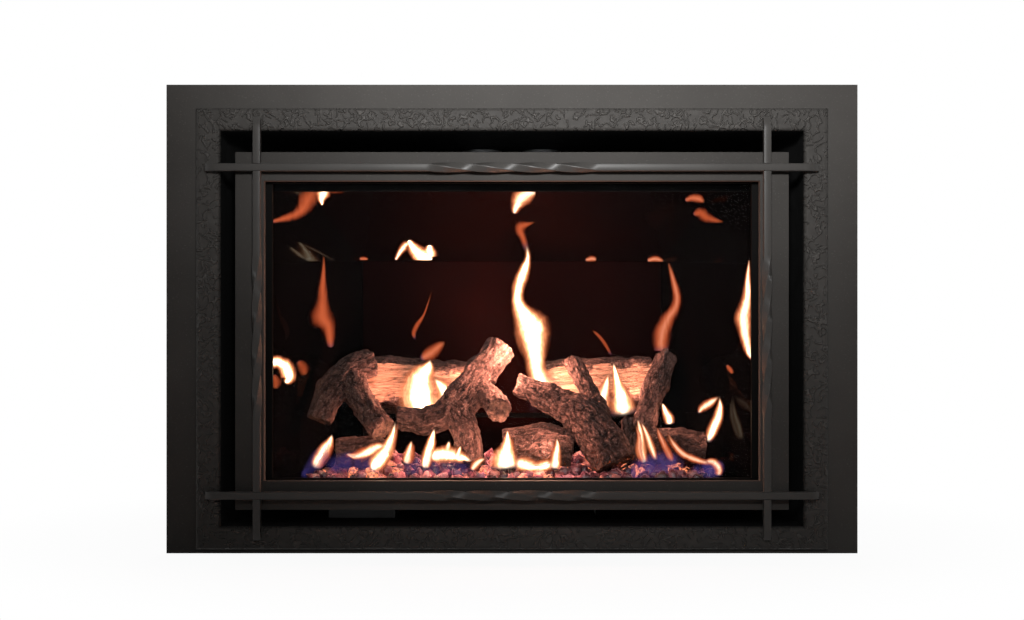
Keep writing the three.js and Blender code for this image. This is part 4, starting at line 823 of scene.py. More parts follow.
def bar_tree():
    """A square bar that twists through a whole turn, curls back at its ends and is lapped where bars cross."""
    s = Shape("Twisted bar", BAR_INPUTS, with_mesh=False)
    half, bar, reach = s.input("Length") * 0.5, s.input("Bar"), s.input("Peg")
    line = s.node("GeometryNodeCurvePrimitiveLine", Start=s.point(0.0 - half), End=s.point(half))
    line = s.node("GeometryNodeResampleCurve", Curve=line, Count=s.input("Steps"))
    along = s.axis(s.node("GeometryNodeInputPosition"), "X")
    part = ((along - s.input("Twist Middle")) / s.input("Twist Length") + 0.5).clamp()
    line = s.node("GeometryNodeSetCurveTilt", Curve=line, Tilt=part * s.input("Turns") * (2 * math.pi))
    over = ((abs(along) - (half - s.input("Curl"))) / s.input("Curl")).clamp()
    line = s.shifted(line, s.point(0.0, over * over * s.input("Curl Drop")))
    square = s.node("GeometryNodeCurvePrimitiveQuadrilateral", Width=bar, Height=bar)
    square = s.node("GeometryNodeFilletCurve", {"mode": "POLY"}, Curve=square, Count=3, Radius=s.input("Edge"))
    solid = s.node("GeometryNodeCurveToMesh", Curve=line, Profile_Curve=square, Fill_Caps=True)
    laps, pegs = [], []
    for name in ("Lap A", "Lap B"):
        block = s.node("GeometryNodeMeshCube", None, "Mesh", Size=s.point(bar + LAP_SLACK, bar, bar * 1.5))
        middle = s.point(s.input(name), s.input("Lap Side") * (bar * 0.5 - LAP_SLACK / 4))
        laps.append(s.moved(block, Translation=middle))
        peg = s.node("GeometryNodeMeshCylinder", None, "Mesh", Vertices=32, Radius=PEG_RADIUS, Depth=reach)
        middle = s.point(s.input(name), bar * 0.25 + reach * 0.5)
        pegs.append(s.moved(peg, Translation=middle, Rotation=(math.pi / 2, 0.0, 0.0)))
    lapped = s.ordered("GeometryNodeMeshBoolean", {"operation": "DIFFERENCE"}, solid, laps)
    whole = s.joined(lapped, *pegs)
    s.close(s.moved(whole, Translation=s.input("Middle"), Rotation=s.input("Turn")))
    return s


def bar_rows():
    """What is each bar's own: its length, its twist, its laps and its place."""
    y = FACE_Y + BAR_LINE
    rows = {}
    for name, level in zip(("bar_upper", "bar_lower"), reversed(BAR_LEVELS)):
        rows[name] = {
            "Length": 1.038, "Twist_Length": 0.292, "Lap_A": -BAR_REACH, "Lap_B": BAR_REACH, "Lap_Side": 1.0,
            "Middle": (0.0, y, level),
        }
    low, high = UPRIGHT_ENDS
    centre = (low + high) / 2
    for name, x in (("bar_left", -BAR_REACH), ("bar_right", BAR_REACH)):
        rows[name] = {
            "Length": high - low, "Twist_Length": 0.281, "Twist_Middle": UPRIGHT_TWIST - centre,
            "Lap_A": BAR_LEVELS[0] - centre, "Lap_B": BAR_LEVELS[1] - centre, "Lap_Side": -1.0, "Peg": 0.012875,
            "Turn": (0.0, -math.pi / 2, 0.0), "Middle": (x, y, centre),
        }
    return rows


# ---------------------------------------------------------------- logs

# The limbs of each log as rows of across, behind the surround's face, up and radius, in millimetres.
LOG_LIMBS = {
    "log_rear_left": [[(-306, 296, 268, 48), (-240, 300, 276, 54), (-150, 304, 272, 56), (-68, 302, 268, 50)]],
    "log_rear_right": [[(56, 304, 266, 50), (130, 306, 275, 55), (210, 304, 277, 55), (276, 300, 285, 48)]],
    "log_main_left": [
        [(-212, 150, 222, 20), (-150, 152, 218, 27), (-96, 166, 252, 34), (-58, 190, 304, 31), (-22, 214, 352, 30)],
        [(-104, 160, 246, 30), (-86, 132, 200, 27), (-75, 110, 140, 27)],
        [(-44, 172, 268, 24), (-34, 130, 254, 22), (-24, 95, 243, 21)],
    ],
    "log_fork_right": [
        [(6, 148, 284, 20), (60, 150, 262, 27), (122, 142, 232, 34), (164, 120, 182, 42), (184, 108, 142, 44)],
        [(113, 232, 326, 17), (135, 192, 282, 19), (158, 148, 228, 24)],
    ],
    "log_fork_left": [
        [(-350, 146, 218, 24), (-332, 165, 268, 28), (-303, 190, 306, 29), (-262, 214, 322, 26)],
        [(-302, 186, 300, 26), (-280, 152, 262, 26), (-254, 126, 228, 25), (-231, 106, 205, 24)],
    ],
    "log_upright_right": [[(291, 238, 336, 21), (266, 200, 276, 23), (244, 160, 222, 22), (236, 146, 196, 20)]],
    "log_front_right": [[(240, 136, 168, 28), (290, 144, 172, 33), (352, 150, 168, 30)]],
    "log_front_left": [[(-318, 128, 160, 25), (-276, 130, 162, 29), (-226, 128, 160, 27)]],
    "log_front_middle": [[(-14, 132, 170, 32), (50, 134, 178, 38), (112, 132, 168, 34)]],
    "log_stub_right": [[(213, 168, 220, 15), (212, 150, 180, 17), (211, 140, 146, 18)]],
}
SPLIT_FACING = np.array(Vector((0.0, -1.0, 0.35)).normalized())
SPLIT_PLANES = {"log_rear_left": (-190, 268, 290), "log_rear_right": (160, 268, 290)}
PLAIN_BARK = {"Plates": 105.0, "Stretch": 3.6, "Scales": 0.15}
SCALY_BARK = {"Plates": 80.0, "Stretch": 2.2, "Scales": 0.75}


def log_base(node, limbs, voxel):
    """A node's log as an even mesh, with the coordinates that its grain follows."""
    remesh = {"mode": "VOXEL", "voxel_size": voxel, "adaptivity": 0.0}
    mesh = with_modifiers(node_copy(node), ("REMESH", remesh), ("SMOOTH", {"factor": 0.5, "iterations": 14}))
    points, facing = vectors_of(mesh.vertices, "co"), vectors_of(mesh.vertex_normals, "vector")
    best = np.full(len(points), 1e9)
    grain = np.zeros((len(points), 3))
    end = np.zeros(len(points))
    for number_of, limb in enumerate(limbs):
        rows = along_spline(limb, 60)
        spine = np.array([place(*row[:3]) for row in rows])
        lengths = np.concatenate([[0], np.cumsum(np.linalg.norm(np.diff(spine, axis=0), axis=1))])
        tangent = unit(np.gradient(spine, axis=0))
        far = np.linalg.norm(points[:, None, :] - spine[None, :, :], axis=2)
        near = far.argmin(axis=1)
        share = far[np.arange(len(points)), near] / (rows[near, 3] * MM)
        side = unit(np.cross(np.array([[0.0, 1.0, 0.2]]), tangent))
        up = np.cross(tangent, side)
        out = points - spine[near]
        s = lengths[near] + (out * tangent[near]).sum(1)
        mine = share < best
        best = np.where(mine, share, best)
        across, above = (out * side[near]).sum(1), (out * up[near]).sum(1)
        grain[mine] = np.stack([s + 0.4 * number_of, across, above], axis=1)[mine]
        tip = step(np.abs((facing * tangent[near]).sum(1)), 0.72, 0.9)
        tip *= (s < lengths[-1] * 0.12) | (s > lengths[-1] * 0.88)
        end[mine] = tip[mine]
    split = np.zeros(len(points))
    if node in SPLIT_PLANES:
        away = (points - np.array(place(*SPLIT_PLANES[node]))) @ SPLIT_FACING
        split = step(facing @ SPLIT_FACING, 0.80, 0.93) * step(-np.abs(away), -0.007, -0.003)
    give(mesh, "grain", grain, "FLOAT_VECTOR")
    for name, values in (("span", np.clip(best, 0.0, 1.5)), ("split", split), ("end", end)):
        give(mesh, name, values)
    return mesh


def bark_tree():
    """Long furrows drawn out along each limb, or scales with cracks between them, and torn fibres on a split face."""
    s = Shape("Bark relief", {"Depth": 0.0, "Plates": 1.0, "Stretch": 1.0, "Scales": 0.0, "Lumps": 0.0})
    grain = s.named("grain", "FLOAT_VECTOR")
    split = s.split_share(grain, s.named("split"), s.named("span"))
    bent = s.vector("ADD", grain, s.vector("SCALE", s.bend(grain, 38.0, 4.0, 0.6), scale=0.030))
    plates = s.input("Plates")
    along = s.vector("MULTIPLY", bent, s.point(plates / s.input("Stretch"), plates, plates))
    rough = s.noise(along, 2.6, 5.0, 0.70)
    furrows = s.between(abs(s.noise(along, 0.55, 2.0, 0.6) - 0.5), 0.0, 0.075) * 0.6
    furrows = furrows + s.between(abs(s.noise(along, 1.3, 2.0, 0.6) - 0.48), 0.0, 0.085) * 0.4
    scales = s.cracks(along, 1.0, 0.20) * 0.62 + s.cracks(along, 2.2, 0.28) * 0.38
    bark = (furrows + (scales - furrows) * s.input("Scales")) * 0.56 + rough * 0.50
    fibres = s.noise(s.vector("MULTIPLY", grain, (10.0, 150.0, 150.0)), 1.0, 4.0, 0.62, 0.5)
    made = s.store(s.input("Geometry"), "relief", bark * (1.0 - split) + fibres * split)
    lumps = s.noise(grain, 21.0, 3.0, 0.55)
    lift = (bark - 0.72) * (1.0 - split) * s.input("Depth") + (fibres - 0.55) * split * s.input("Depth") * 0.9
    lift = lift + (lumps - 0.5) * s.input("Lumps") * (1.0 - 0.7 * split) - s.named("end") * 0.002
    s.close(s.shifted(made, s.vector("SCALE", s.node("GeometryNodeInputNormal", None, "Normal"), scale=lift)))
    return s


# ---------------------------------------------------------------- ember bed and flames

BED_REAR_SHARE = 302 / 364  # the bed's width at its rear for its width at its front
BED_MARGIN = 4 * MM
BED_HEIGHTS = (122 * MM, 142 * MM)  # of its front and rear edge
BED_GRID = (60, 16)
BED_LAYERS = (0.0, -6 * MM)


def bed_top(rise):
    """The upper face of the heap between its straight front and its narrower rear."""
    low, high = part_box("ember_bed")
    across, deep = BED_GRID
    front, rear = BED_HEIGHTS
    points, faces = [], []
    for i in range(across + 1):
        for j in range(deep + 1):
            u, v = 2 * i / across - 1, j / deep
            half = high.x * (1 + (BED_REAR_SHARE - 1) * v) - BED_MARGIN
            y = low.y + BED_MARGIN + (high.y - low.y - 2 * BED_MARGIN) * v
            ripple = 0.0016 * (math.sin(i * 1.1 + j * 0.7) + math.sin(i * 0.5 - j * 1.2))
            points.append((u * half, y, front + (rear - front) * v + ripple + rise))
            if i < across and j < deep:
                a = i * (deep + 1) + j
                faces.append((a, a + deep + 1, a + deep + 2, a + 1))
    return mesh_of("heap", points, faces)


def heap_tree():
    """Pieces strewn over a face. Each has its own turn, size, tone and dents."""
    s = Shape("Ember heap", {"Density": 100.0, "Size": 0.01, "Seed": 1})
    seed, size = s.input("Seed"), s.input("Size")
    strewn = s.node(
        "GeometryNodeDistributePointsOnFaces", {"distribute_method": "POISSON"}, "Points",
        Mesh=s.input("Geometry"), Distance_Min=size * 0.60, Density_Max=s.input("Density"), Seed=seed,
    )

    def chance(low, high, number_of):
        kind = "FLOAT_VECTOR" if isinstance(low, tuple) else "FLOAT"
        return s.node(
            "FunctionNodeRandomValue", {"data_type": kind}, "Value", Min=low, Max=high, Seed=seed + number_of
        )

    cube = s.node("GeometryNodeMeshCube", None, "Mesh", Size=s.point(size, size, size))
    laid = s.node(
        "GeometryNodeInstanceOnPoints",
        Points=strewn,
        Instance=s.node("GeometryNodeSubdivisionSurface", Mesh=cube, Level=1),
        Rotation=chance((0.0, 0.0, 0.0), (6.28, 6.28, 6.28), 1),
        Scale=chance((0.75, 0.65, 0.5), (1.35, 1.1, 0.95), 2),
    )
    laid = s.store(laid, "tone", chance(0.0, 1.0, 3), "INSTANCE")
    laid = s.store(laid, "glow", chance(0.0, 1.0, 4), "INSTANCE")
    real = s.node("GeometryNodeRealizeInstances", Geometry=laid)
    dent = s.bend(s.node("GeometryNodeInputPosition"), 85.0, 1.0, 0.5)
    s.close(s.shifted(real, s.vector("SCALE", dent, scale=size * 0.75)))
    return s


# Each flame: its depth behind the surround's face, its heat (below nought for blue), and its line from root to
# tip as across, up and half width, in millimetres.
FLAMES = {
    "tall": (240, 1.00, [
        (77, 247, 45), (62, 270, 30), (48, 300, 18), (45, 326, 17), (42, 355, 25), (40, 374, 29), (35, 393, 29),
        (24, 410, 20), (13, 430, 12.5), (10, 449, 10.4), (13, 468, 11.3), (20, 487, 11), (25, 502, 8.5),
        (30, 519, 5.7), (29, 534, 5), (26, 546, 4),
    ]),
    "tall_tip": (240, 0.55, [(29, 530, 5), (21, 557, 6), (15, 570, 8.5), (17, 579, 10), (32, 584, 4), (46, 588, 1.2)]),
    "rear_left": (258, 1.00, [
        (-160, 212, 34), (-170, 238, 40), (-176, 266, 36), (-172, 292, 26), (-160, 312, 13), (-155, 328, 2),
    ]),
    "rear_left_low": (262, 0.90, [(-118, 222, 26.7), (-124, 249, 22.9), (-132, 272, 15.2), (-148, 291, 3.8)]),
    "rear_left_lick": (300, 0.60, [(-178, 326, 3.9), (-159, 336, 11.6), (-143, 349, 9.7), (-128, 361, 1.9)]),
    "rear_streak_left": (330, 0.50, [
        (-188, 362, 1.6), (-192, 376, 4.6), (-184, 394, 4.7), (-174, 408, 2.6), (-166, 428, 1.6), (-155, 464, 1.2),
    ]),
    "rear_streak_right": (330, 0.50, [(195, 331, 2.3), (180, 357, 3.9), (168, 372, 3.1), (156, 382, 1.4)]),
    "rear_right": (255, 1.00, [(212, 220, 24), (208, 248, 20), (202, 275, 11), (197, 299, 5.5), (192, 322, 1.6)]),
    "rear_right_low": (258, 0.80, [(170, 228, 19), (172, 254, 15.2), (179, 280, 7.6), (183, 299, 1.9)]),
    "teardrop": (150, 0.95, [(289, 211, 8.2), (287, 224, 9.1), (280, 238, 5.5), (275, 251, 1.5)]),
    "right_tongue": (140, 0.85, [(356, 180, 5.5), (364, 200, 9.1), (374, 223, 9.1), (379, 243, 6.4), (378, 264, 1.5)]),
    "right_tongue_left": (140, 0.75, [(339, 233, 2.7), (346, 243, 7.3), (360, 252, 7.3), (377, 264, 1.8)]),
    "front_1": (86, 0.90, [(-352, 138, 8), (-344, 155, 11), (-333, 172, 10.7), (-325, 187, 6.3), (-321, 199, 1.4)]),
    "front_2": (92, 0.85, [(-297, 164, 2), (-280, 160, 6), (-260, 166, 9), (-240, 176, 8), (-222, 178, 3)]),
    "front_3": (84, 1.00, [(-250, 134, 9), (-240, 150, 14), (-225, 168, 14), (-214, 192, 8), (-208, 222, 1.6)]),
    "front_4": (84, 0.80, [(-188, 146, 8), (-184, 161, 10), (-181, 177, 6), (-179, 189, 1.4)]),
    "front_5": (84, 1.00, [(-156, 138, 6), (-152, 155, 9), (-147, 174, 9), (-142, 194, 5.5), (-138, 210, 1.6)]),
    "front_6": (84, 0.95, [(-158, 158, 5), (-135, 162, 12), (-112, 163, 14), (-90, 158, 10), (-70, 151, 2.5)]),
    "front_6_left": (84, 0.85, [(-120, 158, 9), (-115, 172, 7), (-112, 188, 1.6)]),
    "front_6_right": (84, 0.80, [(-98, 156, 9), (-95, 168, 6), (-91, 180, 1.5)]),
    "front_7": (80, 0.75, [(-72, 136, 4), (-65, 146, 7), (-57, 153, 5.5), (-46, 158, 1.4)]),
    "front_8": (82, 1.00, [(-10, 138, 26), (-12, 158, 22), (-9, 177, 13), (-8, 193, 6), (-8, 208, 1.6)]),
    "front_9": (82, 1.00, [(4, 150, 10), (22, 146, 13), (42, 142, 10), (62, 145, 10), (78, 152, 8)]),
    "front_10": (82, 0.95, [(74, 138, 12), (77, 156, 10), (80, 174, 6.5), (80, 193, 1.6)]),
    "front_11": (86, 0.90, [(237, 147, 6), (230, 171, 9), (230, 198, 6), (224, 227, 1.5)]),
    "front_12": (86, 0.75, [(257, 152, 4), (248, 177, 6.5), (239, 202, 4.5), (230, 222, 1.2)]),
    "front_13": (86, 0.65, [(287, 150, 5), (275, 173, 6.5), (264, 196, 4), (258, 213, 1.2)]),
    "front_14": (86, 0.70, [(358, 147, 4), (332, 153, 5.5), (306, 164, 6), (288, 182, 5), (276, 204, 1.3)]),
    "front_15": (80, 0.80, [(366, 126, 5), (368, 138, 7), (358, 150, 7), (340, 151, 1.8)]),
    "blue_1": (78, -1.00, [(-373, 121, 5), (-357, 142, 10), (-340, 160, 14), (-327, 182, 6)]),
    "blue_2": (78, -1.00, [(206, 122, 9), (232, 140, 17), (270, 148, 20), (310, 150, 9)]),
    "blue_3": (78, -0.90, [(318, 130, 10), (345, 136, 16), (364, 142, 13), (372, 156, 2)]),
    "blue_4": (78, -0.55, [(-200, 136, 10), (-160, 142, 16), (-110, 142, 15), (-60, 136, 8)]),
    "blue_5": (78, -0.60, [(-330, 138, 10), (-300, 150, 17), (-262, 150, 15), (-226, 142, 8)]),
}

# The flames' mirror images in the black panels: their heat, the lowest height they reach, and their line as across,
# up and half width, in millimetres as the camera sees them on the plane of the surround's face.
IMAGES = {
    "left": (0.55, 0, [
        (-312, 359, 5), (-314, 377, 8.5), (-317, 395, 12), (-327, 409, 18), (-327, 424, 13), (-326, 441, 9),
        (-326, 460, 7), (-325, 477, 4.5), (-324, 495, 2.6), (-324, 511, 1.3),
    ]),
    "top_left": (0.55, 0, [
        (-414, 573, 3), (-391, 579, 6), (-372, 586, 8.6), (-358, 598, 12), (-350, 614, 14), (-340, 628, 10),
    ]),
    "top_left_hot": (0.85, 0, [(-327, 602, 2), (-328, 612, 7), (-325, 622, 12), (-318, 632, 7)]),
    "top_left_bar": (0.38, 0, [(-313, 627, 5), (-302, 627, 5.5), (-289, 627, 4)]),
    "seam_1": (0.80, 507, [(-200, 508, 3), (-193, 520, 4.5), (-186, 530, 7), (-179, 536, 5)]),
    "seam_2": (1.00, 507, [(-178, 540, 4), (-171, 529, 9), (-162, 519, 12), (-150, 511, 14), (-138, 508, 8)]),
    "seam_3": (1.00, 507, [(-142, 532, 5), (-142, 522, 10), (-141, 512, 12)]),
    "seam_4": (0.60, 507, [(-262, 509, 2.6), (-255, 509, 4.3), (-248, 508, 1.7)]),
    "seam_5": (0.65, 504, [(127, 507, 2.6), (136, 509, 5.2), (145, 508, 3.4)]),
    "seam_6": (0.65, 504, [(234, 506, 3.4), (246, 509, 6), (260, 506, 2.6)]),
    "corner_1": (0.60, 0, [(299, 610, 3.4), (310, 614, 6), (322, 612, 7), (330, 607, 2.6)]),
    "corner_2": (0.50, 0, [(313, 586, 3.4), (324, 588, 8.6), (334, 581, 8.6), (348, 576, 5), (362, 573, 1.7)]),
    "tall_top": (0.80, 0, [(4, 588, 5), (9, 602, 10), (16, 614, 15), (27, 621, 15), (40, 623, 6)]),
    "right": (0.62, 0, [
        (258, 352, 12), (257, 367, 13), (260, 386, 13), (268, 406, 11), (279, 421, 8.6), (284, 438, 7),
        (283, 452, 6.5), (279, 468, 5), (274, 486, 3.5), (270, 500, 1.7),
    ]),
    "far_right": (0.80, 0, [
        (413, 335, 2), (408, 349, 7), (405, 365, 9), (402, 380, 11), (400, 394, 13), (398, 409, 14.6),
        (401, 423, 12), (404, 438, 9.5), (406, 455, 7.7), (406, 473, 5), (407, 490, 3.4), (408, 505, 1.7),
    ]),
    "right_low": (0.55, 0, [(370, 326, 2), (375, 319, 4.3), (380, 312, 2.6)]),
    "left_arc": (1.00, 0, [
        (-414, 331, 9), (-402, 331, 10), (-391, 324, 12), (-386, 312, 13), (-384, 303, 10), (-390, 296, 5),
    ]),
    "left_arc_low": (0.42, 0, [(-412, 308, 5), (-406, 298, 8.6), (-408, 286, 5)]),
    "left_log": (0.40, 0, [(-368, 332, 5), (-360, 322, 9), (-358, 309, 5)]),
}
AROUND = 20
STEPS = 26
FULLNESS = 1.35  # a tongue's width for what its line says, because its rim fades out
LEAST_HALF = 0.4
TIP_REACH = 0.6
PANELS = ("liner_left", "liner_right", "liner_rear", "liner_ceiling")


def wisps(warmth, line, chance):
    """Thinner strands beside a flame, each with a reach and a lean of its own."""
    rows = np.asarray(line, float)
    root = rows[0].copy()
    for _ in range(3):
        reach, lean, thin = chance.uniform(0.6, 1.05), chance.uniform(-0.10, 0.10), chance.uniform(0.45, 0.8)
        strand = rows.copy()
        strand[:, :2] = root[:2] + (rows[:, :2] - root[:2]) * reach
        strand[:, 0] += chance.uniform(-0.8, 0.8) * rows[:, 2].mean() + lean * (strand[:, 1] - root[1])
        strand[:, 2] *= thin
        yield warmth * chance.uniform(0.45, 0.75), strand


def tongue(rows, at):
    """Rings round a line with a point at each end, as places, faces, the way along and the way out."""
    run = np.gradient(rows[:, :2], axis=0)
    run /= np.linalg.norm(run, axis=1, keepdims=True) + 1e-9
    last = len(rows) - 1
    points, faces, rise, rim = [], [], [], []
    for i, (x, z, half) in enumerate(rows):
        half = max(half, LEAST_HALF) * FULLNESS
        for j in range(AROUND):
            a = 2 * math.pi * j / AROUND
            side = half * math.cos(a)
            points.append(at(x - run[i, 1] * side, z + run[i, 0] * side, half * math.sin(a)))
            rise.append(i / last)
            rim.append(abs(math.cos(a)))
    for i in range(last):
        for j in range(AROUND):
            a, b = i * AROUND + j, i * AROUND + (j + 1) % AROUND
            faces.append((a, b, b + AROUND, a + AROUND))
    for row, beside, share in ((0, 1, 0.0), (last, last - 1, 1.0)):
        x, z = rows[row, :2] + (rows[row, :2] - rows[beside, :2]) * TIP_REACH
        hub = len(points)
        points.append(at(x, z, 0.0))
        rise.append(share)
        rim.append(1.0)
        for j in range(AROUND):
            a, b = row * AROUND + j, row * AROUND + (j + 1) % AROUND
            faces.append((a, b, hub) if share else (b, a, hub))
    return points, faces, rise, rim


def panel_tree():
    """The four black panels, to find where the camera sees a mirror image."""
    made = bmesh.new()
    for node in PANELS:
        made.from_mesh(frame["nodes"][node].data)
    tree = BVHTree.FromBMesh(made)
    made.free()
    return tree


def flame_mesh(thickness, stage):
    """All the tongues and their images in one mesh of closed, flattened spindles."""
    points, faces, rise, rim, heat = [], [], [], [], []

    def add(rows, at, warmth, start=0.0, end=1.0):
        new = tongue(rows, at)
        faces.extend(tuple(len(points) + corner for corner in face) for face in new[1])
        points.extend(new[0])
        rise.extend(start + (end - start) * share for share in new[2])
        rim.extend(new[3])
        heat.extend([warmth] * len(new[0]))

    chance = np.random.default_rng(5)
    for name, (depth, warmth, line) in FLAMES.items():
        strands = [(warmth, line)]
        if name.startswith("front"):
            strands += wisps(warmth, line, chance)
        for heat_here, strand in strands:
            y = depth + chance.uniform(-5.0, 5.0)
            add(along_spline(strand, STEPS), lambda x, z, out: place(x, y + thickness * out, z), heat_here)
    eye = Vector((0.0, FACE_Y - stage.distance, stage.height))
    panels = panel_tree()
    for warmth, lowest, line in IMAGES.values():

        def on_panel(x, z, out):
            ray = (place(x, 0.0, max(z, lowest)) - eye).normalized()
            return panels.ray_cast(eye, ray)[0] - ray * (0.004 + 0.0001 * out)

        add(along_spline(line, STEPS), on_panel, warmth, 0.09, 0.91)
    mesh = mesh_of("flames", points, faces)
    for name, values in (("rise", rise), ("rim", rim), ("warmth", heat)):
        give(mesh, name, values)
    mesh.shade_smooth()
    return mesh


SCREW_RADIUS = 5.5 * MM
SCREW_HEIGHTS = (0.16, 0.34, 0.52, 0.70)
SCREW_DEPTH = 48 * MM


def screw_tree():
    """Washer-head screws along a row of places, each facing its own way."""
    s = Shape("Case screws", {"Radius": 0.005})
    radius = s.input("Radius")
    washer = s.node("GeometryNodeMeshCylinder", None, "Mesh", Vertices=20, Radius=radius, Depth=0.0012)
    head = s.node("GeometryNodeMeshCylinder", None, "Mesh", Vertices=6, Radius=radius * 0.68, Depth=0.0036)
    screw = s.joined(washer, s.moved(head, Translation=(0.0, 0.0, 0.0018)))
    spots = s.node("GeometryNodeMeshToPoints", Mesh=s.input("Geometry"))
    aim = s.node("FunctionNodeAlignRotationToVector", {"axis": "Z"}, Vector=s.named("faces", "FLOAT_VECTOR"))
    s.close(s.node("GeometryNodeInstanceOnPoints", Points=spots, Instance=screw, Rotation=aim))
    return s


# ---------------------------------------------------------------- operators

SLOT_OF = {part["node"]: part["material_slot"] for part in frame["record"]["subparts"]}
BODY_OF = {node: body for body, nodes in frame["record"]["behaviour"]["bodies"].items() for node in nodes}
FINISHES = {}


def finish_table():
    """The maker of each finish, with what it is given."""
    front = bpy.context.scene.insert_front
    coat = tuple(front.colour)
    return {
        "charcoal_paint": (powder_coat, "charcoal powder coat", coat),
        "bar_paint": (powder_coat, "satin bar coat", scaled(coat, 0.76), 0.34, 0.00004, 0.11),
        "trim_paint": (powder_coat, "trim powder coat", scaled(coat, 0.8)),
        "textured_charcoal": (forged_coat, "forged charcoal", coat, front.ridge_spacing),
        # Painted shade: the firebox enamel is far darker than real black enamel, so the firebox inside reads as unlit.
        "black_steel": (powder_coat, "black firebox enamel", (0.0012, 0.0011, 0.0011), 0.6, 0.0001, 0.01),
        "door_black": (powder_coat, "black door enamel", (0.0040, 0.0036, 0.0034), 0.42, 0.00005),
        "galvanised_steel": (zinc_sheet, "galvanised sheet"),
        "zinc_plate": (machined, "zinc plate", (0.52, 0.53, 0.54), 0.32),
        "stainless_steel": (machined, "stainless steel", (0.50, 0.49, 0.47), 0.26),
        "brass_fitting": (machined, "drawn brass", (0.56, 0.38, 0.16), 0.24),
        "black_glass": (black_glass, "polished black liner", 0.014, (0.0012, 0.0008, 0.0008)),
        # Painted glow: the reddish film colours of the rear and ceiling liners stand for the fire's light on them.
        "rear_glass": (black_glass, "sooted rear liner", 0.0, (0.0125, 0.0023, 0.0018), 0.3),
        "ceiling_glass": (black_glass, "sooted ceiling liner", 0.01, (0.0062, 0.0014, 0.0010), 0.3),
        "clear_glass": (clear_glass, "clear ceramic glass"),
        "gasket_rope": (braided_rope, "braided gasket"),
        "black_plastic": (moulded, "black moulding"),
    }


def finish(slot):
    """The finish of a material slot, made once."""
    if slot not in FINISHES:
        maker, *values = finish_table()[slot]
        FINISHES[slot] = maker(*values)
    return FINISHES[slot]


def ease(width, *nodes, coat=None, change=None):
    """Gives nodes eased edges in pieces of their own, with the finish of their slot or another."""
    for node in nodes:
        mesh = eased_copy(node, width)
        if change:
            change(node, mesh)
        keep_piece(node + "_eased", mesh, finish(coat or SLOT_OF[node]), BODY_OF[node], SLOT_OF[node], node)


class INSERT_OT_finishes(bpy.types.Operator):
    """Give every node of the packed model the finish of its slot"""

    bl_idname = "insert.finishes"
    bl_label = "Finishes"

    def execute(self, context):
        spare = powder_coat("hidden solid", (0.02, 0.02, 0.02))
        for node, slot in SLOT_OF.items():
            paint(spare if slot in ("log_fibre", "ember_glass") else finish(slot), node)
        return {"FINISHED"}


class INSERT_OT_surround(bpy.types.Operator):
    """Ease the edges of the folded surround and the plain inner trim"""

    bl_idname = "insert.surround"
    bl_label = "Surround and trim"

    def execute(self, context):
        ease(0.0008, "surround_panel")
        ease(0.0011, "inner_trim_frame", coat="trim_paint")
        return {"FINISHED"}


class INSERT_OT_forged_frame(bpy.types.Operator):
    """Build the forged frame with its hammered relief"""

    bl_idname = "insert.forged_frame"
    bl_label = "Forged frame"

    def execute(self, context):
        settings = context.scene.insert_front
        mesh = forged_relief().grow(
            finish("textured_charcoal"), forged_band(settings), Relief=settings.relief, Spacing=settings.ridge_spacing
        )
        mesh.shade_smooth()
        keep_piece("front_frame_forged", mesh, None, "front", "textured_charcoal", "front_frame")
        return {"FINISHED"}


class INSERT_OT_bars(bpy.types.Operator):
    """Build the four twisted square bars, half-lapped where they cross"""

    bl_idname = "insert.bars"
    bl_label = "Twisted bars"

    def execute(self, context):
        settings = context.scene.insert_front
        shared = {"Bar": settings.bar, "Edge": settings.bar_ease, "Steps": settings.bar_steps, **BAR_FORM}
        tree = bar_tree()
        for name, own in bar_rows().items():
            mesh = tree.grow(finish("bar_paint"), **shared, **own)
            for vertex in mesh.vertices:
                vertex.co.y = max(vertex.co.y, CAD_BOX[0][1] + 0.0001)
            smooth_within(mesh, 32.0)
            keep_piece(name + "_twisted", mesh, None, "front", "charcoal_paint", name)
        return {"FINISHED"}


class INSERT_OT_glass_door(bpy.types.Operator):
    """Ease the glass door's frame and its clips"""

    bl_idname = "insert.glass_door"
    bl_label = "Glass door"

    def execute(self, context):
        ease(0.0009, "glass_door_frame")
        ease(0.0004, "door_clip_left", "door_clip_right")
        return {"FINISHED"}


class INSERT_OT_firebox(bpy.types.Operator):
    """Ease the edges of the firebox, its liners, lintel and burner"""

    bl_idname = "insert.firebox"
    bl_label = "Firebox"

    def execute(self, context):
        for node, coat in zip(PANELS, ("black_glass", "black_glass", "rear_glass", "ceiling_glass")):
            ease(0.0009, node, coat=coat)
        ease(0.0007, "lintel_baffle", "burner_pan", "log_shelf")
        return {"FINISHED"}


class INSERT_OT_logs(bpy.types.Operator):
    """Build the furrowed logs from the packed ones"""

    bl_idname = "insert.logs"
    bl_label = "Logs"

    def execute(self, context):
        settings = context.scene.insert_logs
        bark = bark_and_wood("bark and split wood", settings)
        tree = bark_tree()
        for node, limbs in LOG_LIMBS.items():
            kind = SCALY_BARK if node == "log_fork_right" else PLAIN_BARK
            base = log_base(node, limbs, settings.voxel)
            mesh = tree.grow(bark, base, Depth=settings.bark_depth, Lumps=settings.lumps, **kind)
            mesh.shade_smooth()
            keep_piece(node + "_bark", mesh, None, "root", "log_fibre", node)
        return {"FINISHED"}


